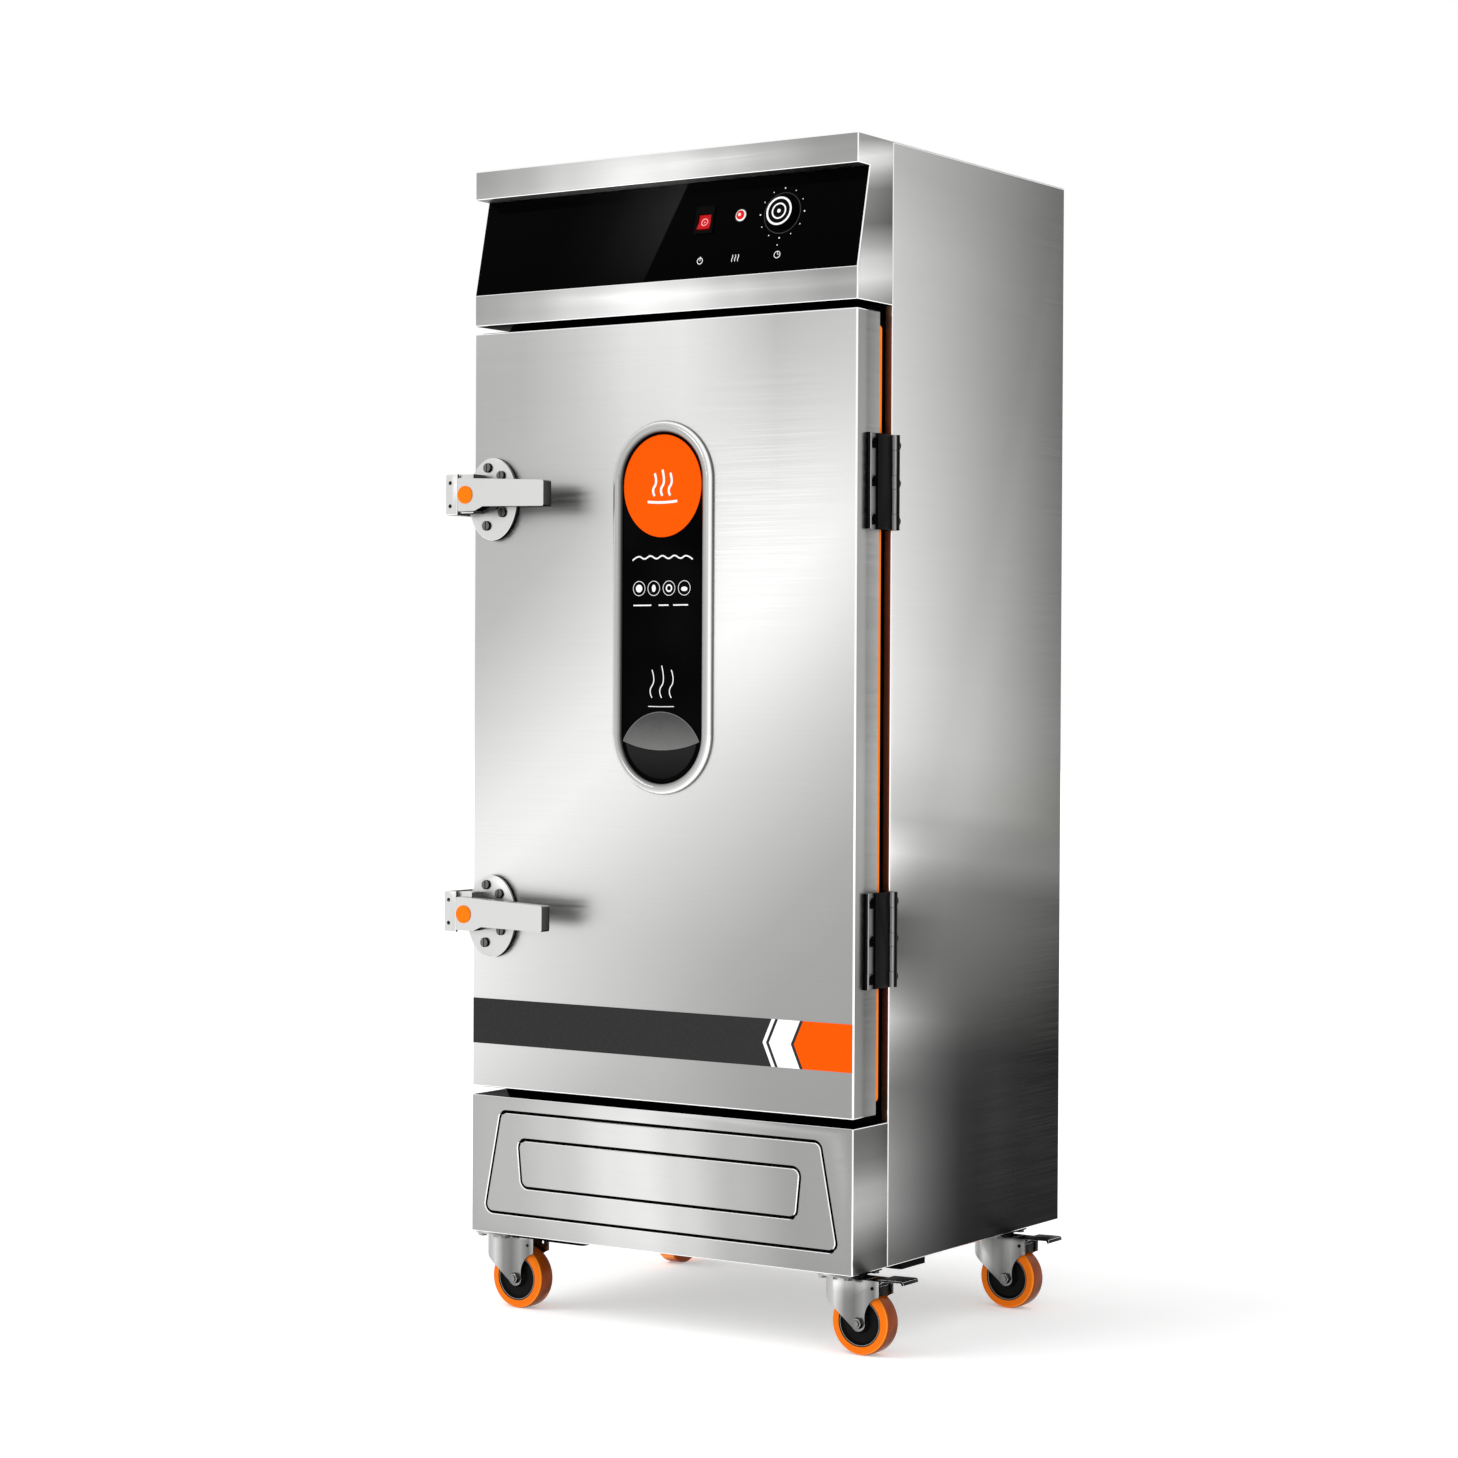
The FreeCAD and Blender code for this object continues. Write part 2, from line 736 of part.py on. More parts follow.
def drain():
    x = drain_x
    y = drain_y
    bend = 2 * drain_radius
    drop = Part.Wire([
        Part.LineSegment(V(x, y, liner_bottom), V(x, y, drain_level + bend)).toShape(),
        Part.Arc(V(x, y, drain_level + bend),
                 V(x, y + bend * (1 - math.sqrt(0.5)), drain_level + bend * (1 - math.sqrt(0.5))),
                 V(x, y + bend, drain_level)).toShape(),
        Part.LineSegment(V(x, y + bend, drain_level), V(x, back + drain_stub, drain_level)).toShape(),
    ])
    shells = []
    for radius in (drain_radius, drain_bore_radius):
        section = Part.Wire([Part.makeCircle(radius, V(x, y, liner_bottom), V(0, 0, 1))])
        shells.append(drop.makePipeShell([section], True, False))
    flange = tube(drain_flange_radius - 0.5, drain_bore_radius,
                  (x, y, liner_bottom - drain_flange_thickness), (0, 0, 1), drain_flange_thickness)
    nodes["drain_pipe"] = union([shells[0], flange]).cut(shells[1])

    start = back + drain_stub
    middle = start + valve_length / 2
    body = union([
        rod(valve_radius, (x, start, drain_level), (0, 1, 0), valve_length),
        rod(valve_outlet_radius, (x, start + valve_length, drain_level), (0, 1, 0), valve_outlet_length),
        rod(valve_stem_boss_radius, (x, middle, drain_level), (0, 0, 1), valve_radius + valve_stem_boss_rise),
    ])
    bore = rod(drain_bore_radius, (x, start - 1, drain_level), (0, 1, 0),
               valve_length + valve_outlet_length + 2)
    stem_hole = rod(valve_stem_radius + running_clearance, (x, middle, drain_level), (0, 0, 1),
                    valve_radius + valve_stem_boss_rise + 1)
    nodes["drain_valve"] = body.cut(bore).cut(stem_hole)

    stem_top = drain_level + valve_radius + valve_stem_boss_rise + 0.4
    stem = rod(valve_stem_radius, (x, middle, drain_level + drain_bore_radius), (0, 0, 1),
               stem_top - drain_level - drain_bore_radius)
    reach = valve_lever_length
    half_width = valve_lever_width / 2
    handle = prism([(x + half_width, middle - half_width), (x + half_width, middle + half_width),
                    (x - reach, middle + half_width), (x - reach, middle - half_width)],
                   "z", stem_top, stem_top + valve_lever_thickness, half_width * 0.9)
    nodes["drain_lever"] = union([stem, handle])


def steam_vent_and_gland():
    pipe = rod(vent_radius, (0, chamber_back, vent_level), (0, 1, 0), back + vent_stub - chamber_back)
    flange = rod(vent_flange_radius, (0, back, vent_level), (0, 1, 0), vent_flange_thickness)
    bore = rod(vent_bore_radius, (0, chamber_back - 1, vent_level), (0, 1, 0),
               back + vent_stub - chamber_back + 2)
    nodes["steam_vent"] = union([pipe, flange]).cut(bore)

    gland = [
        rod(gland_thread_radius, (gland_x, back - sheet - gland_inside, gland_level), (0, 1, 0),
            gland_inside + sheet),
        hexagon(2 * gland_hex_radius, (gland_x, back, gland_level), (0, 1, 0), gland_hex_thickness),
        rod(gland_dome_radius, (gland_x, back + gland_hex_thickness, gland_level), (0, 1, 0),
            gland_dome_length),
        hexagon(2 * gland_hex_radius, (gland_x, back - sheet - 5, gland_level), (0, 1, 0), 5),
    ]
    bore = rod(gland_bore_radius, (gland_x, back - 30, gland_level), (0, 1, 0), 80)
    nodes["cable_gland"] = union(gland).cut(bore)


def panel_place(shape):
    # Moves a solid drawn on the sloping panel: x across, y up the slope, z out of the face.
    turn = FreeCAD.Rotation(V(1, 0, 0), 90 - panel_lean)
    shape.Placement = FreeCAD.Placement(V(0, front, panel_foot), turn).multiply(shape.Placement)
    return shape


def head():
    profile = [(front, head_bottom), (carcass_front, head_bottom), (carcass_front, body_top),
               (front, body_top), (front, panel_head), (front + head_recess, panel_head), (front, panel_foot)]
    shell = prism(profile, "x", -half, half)
    cavity = inset(profile, [sheet, -1.0, sheet, sheet, sheet, glass_thickness + sheet, sheet])
    inside = prism(cavity, "x", -inner_half, inner_half)
    pocket = panel_place(block(-inner_half, inner_half, 0, panel_length, -glass_thickness, glass_thickness))
    gap = panel_part_clearance
    barrel_x = rocker_width / 2 + rocker_side_gap + switch_barrel_wall
    barrel_y = rocker_length / 2 + rocker_end_gap + switch_barrel_wall
    rocker_y = switch_height - rocker_drop

    def panel_holes():
        # Cut-outs for the switch, lamp and timer, through glass and steel alike.
        deep = -glass_thickness - sheet - 1
        return [
            panel_place(block(switch_x - barrel_x - gap, switch_x + barrel_x + gap,
                              rocker_y - barrel_y - gap, rocker_y + barrel_y + gap, deep, 1)),
            panel_place(rod(lamp_barrel_radius + gap, (lamp_x, lamp_height, deep), (0, 0, 1), 1 - deep)),
            panel_place(rod(timer_bushing_radius + gap, (timer_x, timer_height, deep), (0, 0, 1), 1 - deep)),
        ]

    nodes["head_shell"] = without(shell, [inside, pocket] + panel_holes())
    glass = panel_place(block(-inner_half, inner_half, 0, panel_length, -glass_thickness, 0))
    nodes["control_glass"] = without(glass, panel_holes())

    bezel = prism(rectangle(switch_x - bezel_width / 2, switch_x + bezel_width / 2,
                            switch_height - bezel_height / 2, switch_height + bezel_height / 2),
                  "z", 0, bezel_thickness, 2.0)
    barrel = block(switch_x - barrel_x, switch_x + barrel_x, rocker_y - barrel_y, rocker_y + barrel_y,
                   -switch_barrel_depth, bezel_thickness / 2)
    pocket_x = barrel_x - switch_barrel_wall
    pocket_y = barrel_y - switch_barrel_wall
    pocket = block(switch_x - pocket_x, switch_x + pocket_x, rocker_y - pocket_y, rocker_y + pocket_y,
                   -switch_pocket_depth, bezel_thickness + 1)
    axle_hole = rod(trunnion_radius + running_clearance,
                    (switch_x - pocket_x - trunnion_length, rocker_y, -rocker_pivot_depth), (1, 0, 0),
                    2 * (pocket_x + trunnion_length))
    nodes["switch_body"] = panel_place(union([bezel, barrel]).cut(pocket).cut(axle_hole))

    end = rocker_length / 2
    section = [(-end, rocker_rise), (-end, -1.0), (-end * 0.5, -rocker_depth), (end * 0.5, -rocker_depth),
               (end, -1.0), (end, rocker_rise), (0.0, rocker_valley)]
    rocker = prism(section, "x", -rocker_width / 2, rocker_width / 2)
    reach = rocker_width / 2 + rocker_side_gap + trunnion_length * 0.75
    rocker = union([rocker, rod(trunnion_radius, (-reach, 0, 0), (1, 0, 0), 2 * reach)])
    rocker.Placement = FreeCAD.Placement(V(switch_x, rocker_y, -rocker_pivot_depth),
                                         FreeCAD.Rotation(V(1, 0, 0), -rocker_tilt))
    nodes["power_rocker"] = panel_place(rocker)

    sphere_radius = (lamp_dome_radius ** 2 + lamp_dome_height ** 2) / (2 * lamp_dome_height)
    dome = Part.makeSphere(sphere_radius, V(lamp_x, lamp_height,
                                            lamp_flange_thickness + lamp_dome_height - sphere_radius))
    dome = dome.common(rod(lamp_dome_radius, (lamp_x, lamp_height, 0.5), (0, 0, 1), 20))
    lamp = union([
        rod(lamp_flange_radius, (lamp_x, lamp_height, 0), (0, 0, 1), lamp_flange_thickness),
        rod(lamp_barrel_radius, (lamp_x, lamp_height, -lamp_barrel_depth), (0, 0, 1), lamp_barrel_depth),
        dome,
    ])
    nodes["pilot_lamp"] = panel_place(lamp)

    behind = -glass_thickness - sheet
    timer = union([
        block(timer_x - timer_body_size / 2, timer_x + timer_body_size / 2,
              timer_height - timer_body_size / 2, timer_height + timer_body_size / 2,
              behind - timer_body_depth, behind),
        rod(timer_bushing_radius, (timer_x, timer_height, behind), (0, 0, 1), timer_bushing_rise - behind),
    ])
    shaft_hole = rod(timer_shaft_radius + running_clearance,
                     (timer_x, timer_height, -timer_shaft_engagement - 1), (0, 0, 1),
                     timer_shaft_engagement + 10)
    nodes["timer_body"] = panel_place(timer.cut(shaft_hole))
    recess = timer_bushing_rise + 0.8
    knob = union([
        rod(knob_radius, (timer_x, timer_height, knob_gap), (0, 0, 1), knob_skirt - knob_gap),
        Part.makeCone(knob_cap_radius, knob_cap_radius - 1.0, knob_height - knob_skirt,
                      V(timer_x, timer_height, knob_skirt)),
    ])
    knob = knob.cut(rod(timer_bushing_radius + 1.0, (timer_x, timer_height, 0), (0, 0, 1), recess))
    shaft = rod(timer_shaft_radius, (timer_x, timer_height, -timer_shaft_engagement), (0, 0, 1),
                timer_shaft_engagement + recess + 1)
    nodes["timer_knob"] = panel_place(union([knob, shaft]))

    y = front + contactor_setback
    z = contactor_level
    step = contactor_terminal_step
    nodes["contactor"] = union([
        block(inner_half - contactor_width, inner_half, y, y + contactor_depth,
              z + step, z + contactor_height - step),
        block(inner_half - contactor_width + step, inner_half, y, y + contactor_depth,
              z, z + contactor_height),
        block(inner_half - contactor_width - 6, inner_half - contactor_width + 1,
              y + step, y + contactor_depth - step, z + contactor_height / 3, z + contactor_height * 2 / 3),
    ])


def groove(points, radius):
    middle = outline(points, "y", front, radius)
    wide = Part.Face(middle.makeOffset2D(groove_width / 2))
    narrow = Part.Face(middle.makeOffset2D(-groove_width / 2))
    return wide.cut(narrow).extrude(V(0, groove_depth, 0))


def plinth():
    shell = block(-half, half, front, carcass_front, ride_height, plinth_top)
    inside = block(-inner_half, inner_half, front + plinth_sheet, carcass_front + 1,
                   ride_height - 1, plinth_top - sheet)
    outer = [(-half + outer_groove_bottom_margin, ride_height + outer_groove_low),
             (half - outer_groove_bottom_margin, ride_height + outer_groove_low),
             (half - outer_groove_top_margin, ride_height + outer_groove_high),
             (-half + outer_groove_top_margin, ride_height + outer_groove_high)]
    inner = [(-half + inner_groove_bottom_margin, ride_height + inner_groove_low),
             (half - inner_groove_bottom_margin, ride_height + inner_groove_low),
             (half - inner_groove_top_margin, ride_height + inner_groove_high),
             (-half + inner_groove_top_margin, ride_height + inner_groove_high)]
    nodes["plinth_shell"] = without(shell, [inside, groove(outer, groove_radius),
                                            groove(inner, groove_radius)])


def door():
    skin = block(-half, half, front, door_back, door_bottom, door_top)
    hollow = block(-inner_half, inner_half, front + sheet, door_back + 1,
                   door_bottom + sheet, door_top - sheet)
    holes = []
    for level in latch_levels.values():
        for dx, dz in latch_screws:
            start = (latch_x + dx, front - 1, level + dz)
            holes.append(rod(latch_screw_radius + screw_clearance, start, (0, 1, 0), sheet + 2))
    for level in hinge_levels.values():
        for dz in (-hinge_screw_spread, 0, hinge_screw_spread):
            start = (inner_half - 1, hinge_screw_y(), level + dz)
            holes.append(rod(hinge_screw_radius + screw_clearance, start, (1, 0, 0), sheet + 2))
    nodes["door_skin"] = without(skin, [hollow] + holes)

    plug_x = chamber_half - plug_margin
    plug_low = mouth_bottom + plug_margin
    plug_high = mouth_top - plug_margin
    plug_back = door_back + plug_depth
    plate = block(-inner_half, inner_half, door_back - sheet, door_back,
                  door_bottom + sheet, door_top - sheet)
    plug = block(-plug_x, plug_x, door_back - sheet, plug_back, plug_low, plug_high)
    inside = block(-plug_x + sheet, plug_x - sheet, door_back - sheet - 1, plug_back - sheet,
                   plug_low + sheet, plug_high - sheet)
    nodes["door_liner"] = union([plate, plug]).cut(inside)

    foam = block(-inner_half, inner_half, front + sheet, door_back - sheet,
                 door_bottom + sheet, door_top - sheet)
    plug_foam = block(-plug_x + sheet, plug_x - sheet, door_back - sheet - 1, plug_back - sheet,
                      plug_low + sheet, plug_high - sheet)
    nodes["door_foam"] = union([foam, plug_foam])

    x = half - seal_side_inset
    low = door_bottom + seal_end_inset
    high = door_top - seal_end_inset
    ring = prism(rectangle(-x, x, low, high), "y", door_back, door_back + seal_thickness, 8.0)
    window = prism(rectangle(-x + seal_width, x - seal_width, low + seal_width, high - seal_width),
                   "y", door_back - 1, door_back + seal_thickness + 1, 4.0)
    nodes["door_seal"] = ring.cut(window)


def badge():
    x0 = badge_x - badge_width / 2
    x1 = badge_x + badge_width / 2
    outer = prism(rectangle(x0, x1, badge_low, badge_high), "y", front - badge_rise, front, badge_width / 2)
    window_points = rectangle(x0 + badge_band, x1 - badge_band,
                              badge_low + badge_band, badge_high - badge_band)
    window_radius = badge_width / 2 - badge_band
    ring = outer.cut(prism(window_points, "y", front - badge_rise - 1, front + 1, window_radius))
    rims = [edge for edge in ring.Edges if edge.BoundBox.YMax < front - badge_rise + 0.01]
    nodes["badge_ring"] = ring.makeFillet(badge_edge_radius, rims)
    nodes["badge_panel"] = prism(window_points, "y", front - badge_panel_thickness, front, window_radius)


def ellipse_plate(x, z, half_width, half_height, y0, y1):
    ellipse = Part.Ellipse(V(x, y0, z + half_height), V(x + half_width, y0, z), V(x, y0, z))
    return Part.Face(Part.Wire([ellipse.toShape()])).extrude(V(0, y1 - y0, 0))


def latches():
    bases = []
    gaskets = []
    screws = []
    plate_front = front - latch_gasket_thickness - base_plate_thickness
    boss_front = plate_front - latch_boss_rise
    lever_back = front - lever_face + lever_thickness
    for place, level in latch_levels.items():
        plate = ellipse_plate(latch_x, level - base_drop, base_half_width, base_half_height,
                              plate_front, front - latch_gasket_thickness)
        boss = rod(latch_boss_radius, (latch_x, boss_front, level), (0, 1, 0), latch_boss_rise)
        guide = block(latch_x - guide_left, latch_x - guide_right, lever_back + lever_gap, plate_front + 1,
                      level - guide_low, level + guide_high)
        bore = rod(spindle_radius + running_clearance, (latch_x, boss_front - 1, level), (0, 1, 0), 30)
        holes = [rod(latch_screw_radius + screw_clearance, (latch_x + dx, plate_front - 1, level + dz),
                     (0, 1, 0), 30)
                 for dx, dz in latch_screws]
        bases.append(without(union([plate, boss, guide]), [bore] + holes))
        gasket = ellipse_plate(latch_x, level - base_drop, base_half_width, base_half_height,
                               front - latch_gasket_thickness, front)
        gasket_bore = rod(spindle_radius + 1.0, (latch_x, boss_front - 1, level), (0, 1, 0), 30)
        gaskets.append(without(gasket, [gasket_bore] + holes))
        for dx, dz in latch_screws:
            screws.append(slotted_screw(latch_x + dx, plate_front, level + dz, (0, -1, 0),
                                        latch_screw_head_radius, latch_screw_head_rise, latch_screw_radius,
                                        base_plate_thickness + latch_gasket_thickness + sheet))

        points = [(latch_x + x, level + z) for x, z in lever_outline]
        body = prism(points, "y", front - lever_face, lever_back, lever_corner)
        hollow = prism(inset(points, [lever_wall] * len(points)), "y", front - lever_face + lever_wall,
                       lever_back + 1, 1.0)
        neck = rod(lever_neck_radius, (latch_x, front - lever_face + 1, level), (0, 1, 0),
                   boss_front - running_clearance * 4 - (front - lever_face + 1))
        spindle = rod(spindle_radius, (latch_x, front - lever_face + 1, level), (0, 1, 0), lever_face - 1.5)
        nodes["latch_lever_" + place] = union([body.cut(hollow), neck, spindle])
        cap = rod(cap_radius, (latch_x + cap_x, front - lever_face, level + cap_z), (0, -1, 0), cap_thickness)
        rim = [edge for edge in cap.Edges if edge.BoundBox.YMax < front - lever_face - cap_thickness + 0.01]
        nodes["lever_cap_" + place] = cap.makeFillet(cap_thickness * 0.4, rim)
    nodes["latch_bases"] = group(bases)
    nodes["latch_gaskets"] = group(gaskets)
    door_screws.extend(screws)


def keepers():
    parts = []
    x_out = -half - keeper_left
    x_in = -half - keeper_right
    foot_start = carcass_front + keeper_web
    for level in latch_levels.values():
        low = level - keeper_low
        high = level + keeper_high
        face = block(x_out, x_in, front - keeper_face, front - keeper_face + keeper_plate, low, high)
        web = block(x_out, x_out + keeper_web, front - keeper_face, foot_start, low, high)
        bridge = block(x_out, -half, foot_start - keeper_web, foot_start, low, high)
        foot = block(-half - keeper_web, -half, foot_start - keeper_web, foot_start + keeper_foot_length,
                     low, high)
        cuts = []
        for dz in (-keeper_hole_spread, keeper_hole_spread):
            start = ((x_out + x_in) / 2 - keeper_hole_shift, front - keeper_face - 1,
                     middle_of_side(level) + dz)
            cuts.append(rod(keeper_hole_radius, start, (0, 1, 0), keeper_plate + 2))
        for dz in (-keeper_screw_spread, keeper_screw_spread):
            start = (-half - keeper_web - 1, keeper_foot_middle(), middle_of_side(level) + dz)
            cuts.append(rod(keeper_screw_radius + screw_clearance, start, (1, 0, 0), keeper_web + 2))
        parts.append(without(union([face, web, bridge, foot]), cuts))
    nodes["latch_keepers"] = group(parts)


def middle_of_side(level):
    return level + (keeper_high - keeper_low) / 2


def hinge_screw_y():
    return front + leaf_setback + leaf_rim + leaf_channel / 2


def knuckle_spans(level):
    spans = []
    z = level - sum(knuckles) / 2
    for length in knuckles:
        spans.append((z, z + length))
        z += length
    return spans


def hinges():
    pin_x = half + pin_outboard
    pin_y = front + pin_setback
    door_leaves = []
    frame_parts = []
    screws = []
    bolts = []
    for level in hinge_levels.values():
        spans = knuckle_spans(level)
        low = spans[0][0]
        high = spans[-1][1]
        start = front + leaf_setback
        rib_end = pin_y - barrel_radius - leaf_clearance
        channel_start = start + leaf_rim
        channel_end = channel_start + leaf_channel
        plate = [(half, start), (half + leaf_rib_thickness - 1, start),
                 (half + leaf_rib_thickness, start + 1), (half + leaf_rib_thickness, channel_start),
                 (half + leaf_thickness, channel_start),
                 (half + leaf_thickness, channel_end), (half + leaf_rib_thickness, channel_end),
                 (half + leaf_rib_thickness, rib_end), (half, rib_end)]
        leaf = [prism(plate, "z", low, high)]
        bolt_y = pin_y + hinge_bolt_setback
        lugs = []
        for i, (z0, z1) in enumerate(spans):
            z0 += knuckle_gap / 2
            z1 -= knuckle_gap / 2
            barrel = rod(barrel_radius, (pin_x, pin_y, z0), (0, 0, 1), z1 - z0)
            if i % 2:
                arm = block(half + knuckle_gap, half + leaf_rib_thickness, rib_end - 1, pin_y, z0, z1)
                pin_bore = rod(pin_radius + running_clearance, (pin_x, pin_y, z0 - 1), (0, 0, 1), z1 - z0 + 2)
                leaf.append(union([barrel, arm]).cut(pin_bore))
            else:
                bolt_z = level + (i - 2) / 2 * hinge_screw_spread
                arm = block(half, half + leaf_thickness, pin_y + 1.5, bolt_y - lug_end_radius + 1, z0, z1)
                plate_end = union([
                    rod(lug_end_radius, (half, bolt_y, bolt_z), (1, 0, 0), leaf_thickness),
                    block(half, half + leaf_thickness, pin_y + 1.5, bolt_y, bolt_z - lug_end_radius,
                          bolt_z + lug_end_radius),
                ])
                bolt_hole = rod(hinge_screw_radius + screw_clearance, (half - 1, bolt_y, bolt_z), (1, 0, 0),
                                leaf_thickness + 2)
                pin_hole = rod(pin_radius, (pin_x, pin_y, z0 - 1), (0, 0, 1), z1 - z0 + 2)
                lugs.append(union([barrel, arm, plate_end]).cut(pin_hole).cut(bolt_hole))
        screw_holes = []
        for dz in (-hinge_screw_spread, 0, hinge_screw_spread):
            screw_holes.append(rod(hinge_screw_radius + screw_clearance,
                                   (half - 1, hinge_screw_y(), level + dz), (1, 0, 0), leaf_thickness + 2))
            screws.append(slotted_screw(half + leaf_thickness, hinge_screw_y(), level + dz, (1, 0, 0),
                                        hinge_screw_head_radius, hinge_screw_head_rise, hinge_screw_radius,
                                        leaf_thickness + sheet))
            bolts.append(dome_bolt(half + leaf_thickness, bolt_y, level + dz, (1, 0, 0),
                                   hinge_bolt_head_radius, hinge_bolt_head_rise, hinge_screw_radius,
                                   leaf_thickness + sheet))
        door_leaves.append(without(union(leaf), screw_holes))
        frame_parts.extend(lugs)
        frame_parts.append(rod(pin_radius, (pin_x, pin_y, low), (0, 0, 1), high - low))
    nodes["hinge_leaves"] = group(door_leaves)
    nodes["hinge_lugs_and_pins"] = group(frame_parts)
    door_screws.extend(screws)
    for level in latch_levels.values():
        for dz in (-keeper_screw_spread, keeper_screw_spread):
            bolts.append(dome_bolt(-half - keeper_web, keeper_foot_middle(), middle_of_side(level) + dz,
                                   (-1, 0, 0), keeper_screw_head_radius, keeper_screw_head_rise,
                                   keeper_screw_radius, keeper_web + sheet))
    nodes["frame_screws"] = group(bolts)


def caster_places():
    # Name, swivel axis, heading of the trailing wheel in degrees, and whether it has a brake.
    front_y = front + caster_front_inset
    rear_y = back - caster_rear_inset
    return [
        ("front_left", -caster_x, front_y, 0.0, False),
        ("front_right", caster_x, front_y, 0.0, True),
        ("rear_left", -caster_x, rear_y, 90.0, False),
        ("rear_right", caster_x, rear_y, 0.0, True),
    ]


def caster_bolt_places():
    places = []
    for name, x, y, heading, braked in caster_places():
        for dx in (-bolt_spacing_x / 2, bolt_spacing_x / 2):
            for dy in (-bolt_spacing_y / 2, bolt_spacing_y / 2):
                places.append((x + dx, y + dy))
    return places


def caster_top_plates():
    parts = []
    plate_bottom = ride_height - caster_plate_thickness
    for name, x, y, heading, braked in caster_places():
        plan = rectangle(x - caster_plate_x / 2, x + caster_plate_x / 2,
                         y - caster_plate_y / 2, y + caster_plate_y / 2)
        plate = prism(plan, "z", plate_bottom, ride_height, 6.0)
        crown = rod(crown_radius, (x, y, fork_top + crown_gap), (0, 0, 1),
                    plate_bottom - fork_top - crown_gap)
        pin_bottom = fork_top - fork_sheet - crown_gap - kingpin_head_height
        pin = rod(kingpin_radius, (x, y, pin_bottom), (0, 0, 1), plate_bottom - pin_bottom)
        pin_head = rod(kingpin_head_radius, (x, y, pin_bottom), (0, 0, 1), kingpin_head_height)
        holes = [rod(bolt_hole_radius, (bx, by, plate_bottom - 1), (0, 0, 1), caster_plate_thickness + 2)
                 for bx, by in caster_bolt_places()]
        parts.append(without(union([plate, crown, pin, pin_head]), holes))
    for x, y in caster_bolt_places():
        head_part = hexagon(bolt_head_across, (x, y, plate_bottom - bolt_head_height), (0, 0, 1),
                            bolt_head_height)
        shank = rod(bolt_radius, (x, y, plate_bottom - 1), (0, 0, 1),
                    caster_plate_thickness + base_sheet + bolt_nut_height + 3)
        nut = hexagon(bolt_head_across, (x, y, ride_height + base_sheet), (0, 0, 1), bolt_nut_height)
        parts.append(union([head_part, shank, nut]))
    nodes["caster_plates"] = group(parts)


def fork():
    # Pressed horn fork, drawn with its swivel axis on Z and the wheel trailing along +X.
    outer_half = fork_inner_width / 2 + fork_sheet
    roof_bottom = fork_top - fork_sheet
    axle_z = wheel_radius
    plan = union([rod(outer_half, (fork_nose * -1 + outer_half, 0, 0), (0, 0, 1), fork_top),
                  block(outer_half - fork_nose, fork_tail, -outer_half, outer_half, 0, fork_top)])
    inner_half_width = fork_inner_width / 2
    space = union([rod(inner_half_width, (outer_half - fork_nose, 0, 0), (0, 0, 1), roof_bottom),
                   block(outer_half - fork_nose, fork_tail + 1, -inner_half_width, inner_half_width,
                         0, roof_bottom),
                   block(fork_roof_end, fork_tail + 1, -inner_half_width, inner_half_width, 0, fork_top + 1)])
    # Side view: convex leading edge, ear round the axle, hollow trailing edge, upright tail.
    nose_top = V(-fork_nose, 0, fork_top)
    nose_low = V(-fork_nose, 0, axle_z + 47.0)
    nose_round = V(-fork_nose + 3.0, 0, axle_z + 38.0)
    lead = V(-fork_nose + 9.0, 0, axle_z + 30.0)
    ear_left = V(caster_trail - fork_ear_radius * 0.86, 0, axle_z - fork_ear_radius * 0.51)
    ear_low = V(caster_trail, 0, axle_z - fork_ear_radius)
    ear_right = V(caster_trail + fork_ear_radius * 0.98, 0, axle_z + fork_ear_radius * 0.2)
    tail_low = V(fork_tail, 0, axle_z + 41.0)
    tail_top = V(fork_tail, 0, fork_top)
    hollow_middle = V(caster_trail + fork_ear_radius + 4.5, 0, axle_z + 27.0)
    side = Part.Wire([
        Part.LineSegment(nose_top, nose_low).toShape(),
        Part.Arc(nose_low, nose_round, lead).toShape(),
        Part.LineSegment(lead, ear_left).toShape(),
        Part.Arc(ear_left, ear_low, ear_right).toShape(),
        Part.Arc(ear_right, hollow_middle, tail_low).toShape(),
        Part.LineSegment(tail_low, tail_top).toShape(),
        Part.LineSegment(tail_top, nose_top).toShape(),
    ])
    mask = Part.Face(side).extrude(V(0, 4 * outer_half, 0))
    mask.translate(V(0, -2 * outer_half, 0))
    shape = plan.cut(space).common(mask)
    kingpin_hole = rod(kingpin_radius + running_clearance, (0, 0, roof_bottom - 1), (0, 0, 1), fork_sheet + 2)
    axle_hole = rod(axle_radius, (caster_trail, -outer_half - 1, axle_z), (0, 1, 0), 2 * outer_half + 2)
    pedal_hole = rod(pedal_pin_radius + running_clearance, (pedal_pivot_x, -outer_half - 1, pedal_pivot_z),
                     (0, 1, 0), 2 * outer_half + 2)
    return without(shape, [kingpin_hole, axle_hole, pedal_hole])


def axle():
    outer_half = fork_inner_width / 2 + fork_sheet
    shank = rod(axle_radius, (caster_trail, -outer_half, wheel_radius), (0, 1, 0), 2 * outer_half)
    ends = []
    for side in (-1, 1):
        ends.append(hexagon(axle_nut_across, (caster_trail, side * outer_half, wheel_radius), (0, side, 0),
                            axle_nut_height))
        ends.append(rod(axle_radius, (caster_trail, side * (outer_half + axle_nut_height), wheel_radius),
                        (0, side, 0), 2.0))
    return union([shank] + ends)


def wheel_profile(points):
    # Solid of revolution about the axle, from (offset along the axle, radius) points.
    ring = [V(caster_trail, a, wheel_radius + r) for a, r in points]
    face = Part.Face(Part.makePolygon(ring + ring[:1]))
    return face.revolve(V(caster_trail, 0, wheel_radius), V(0, 1, 0), 360)


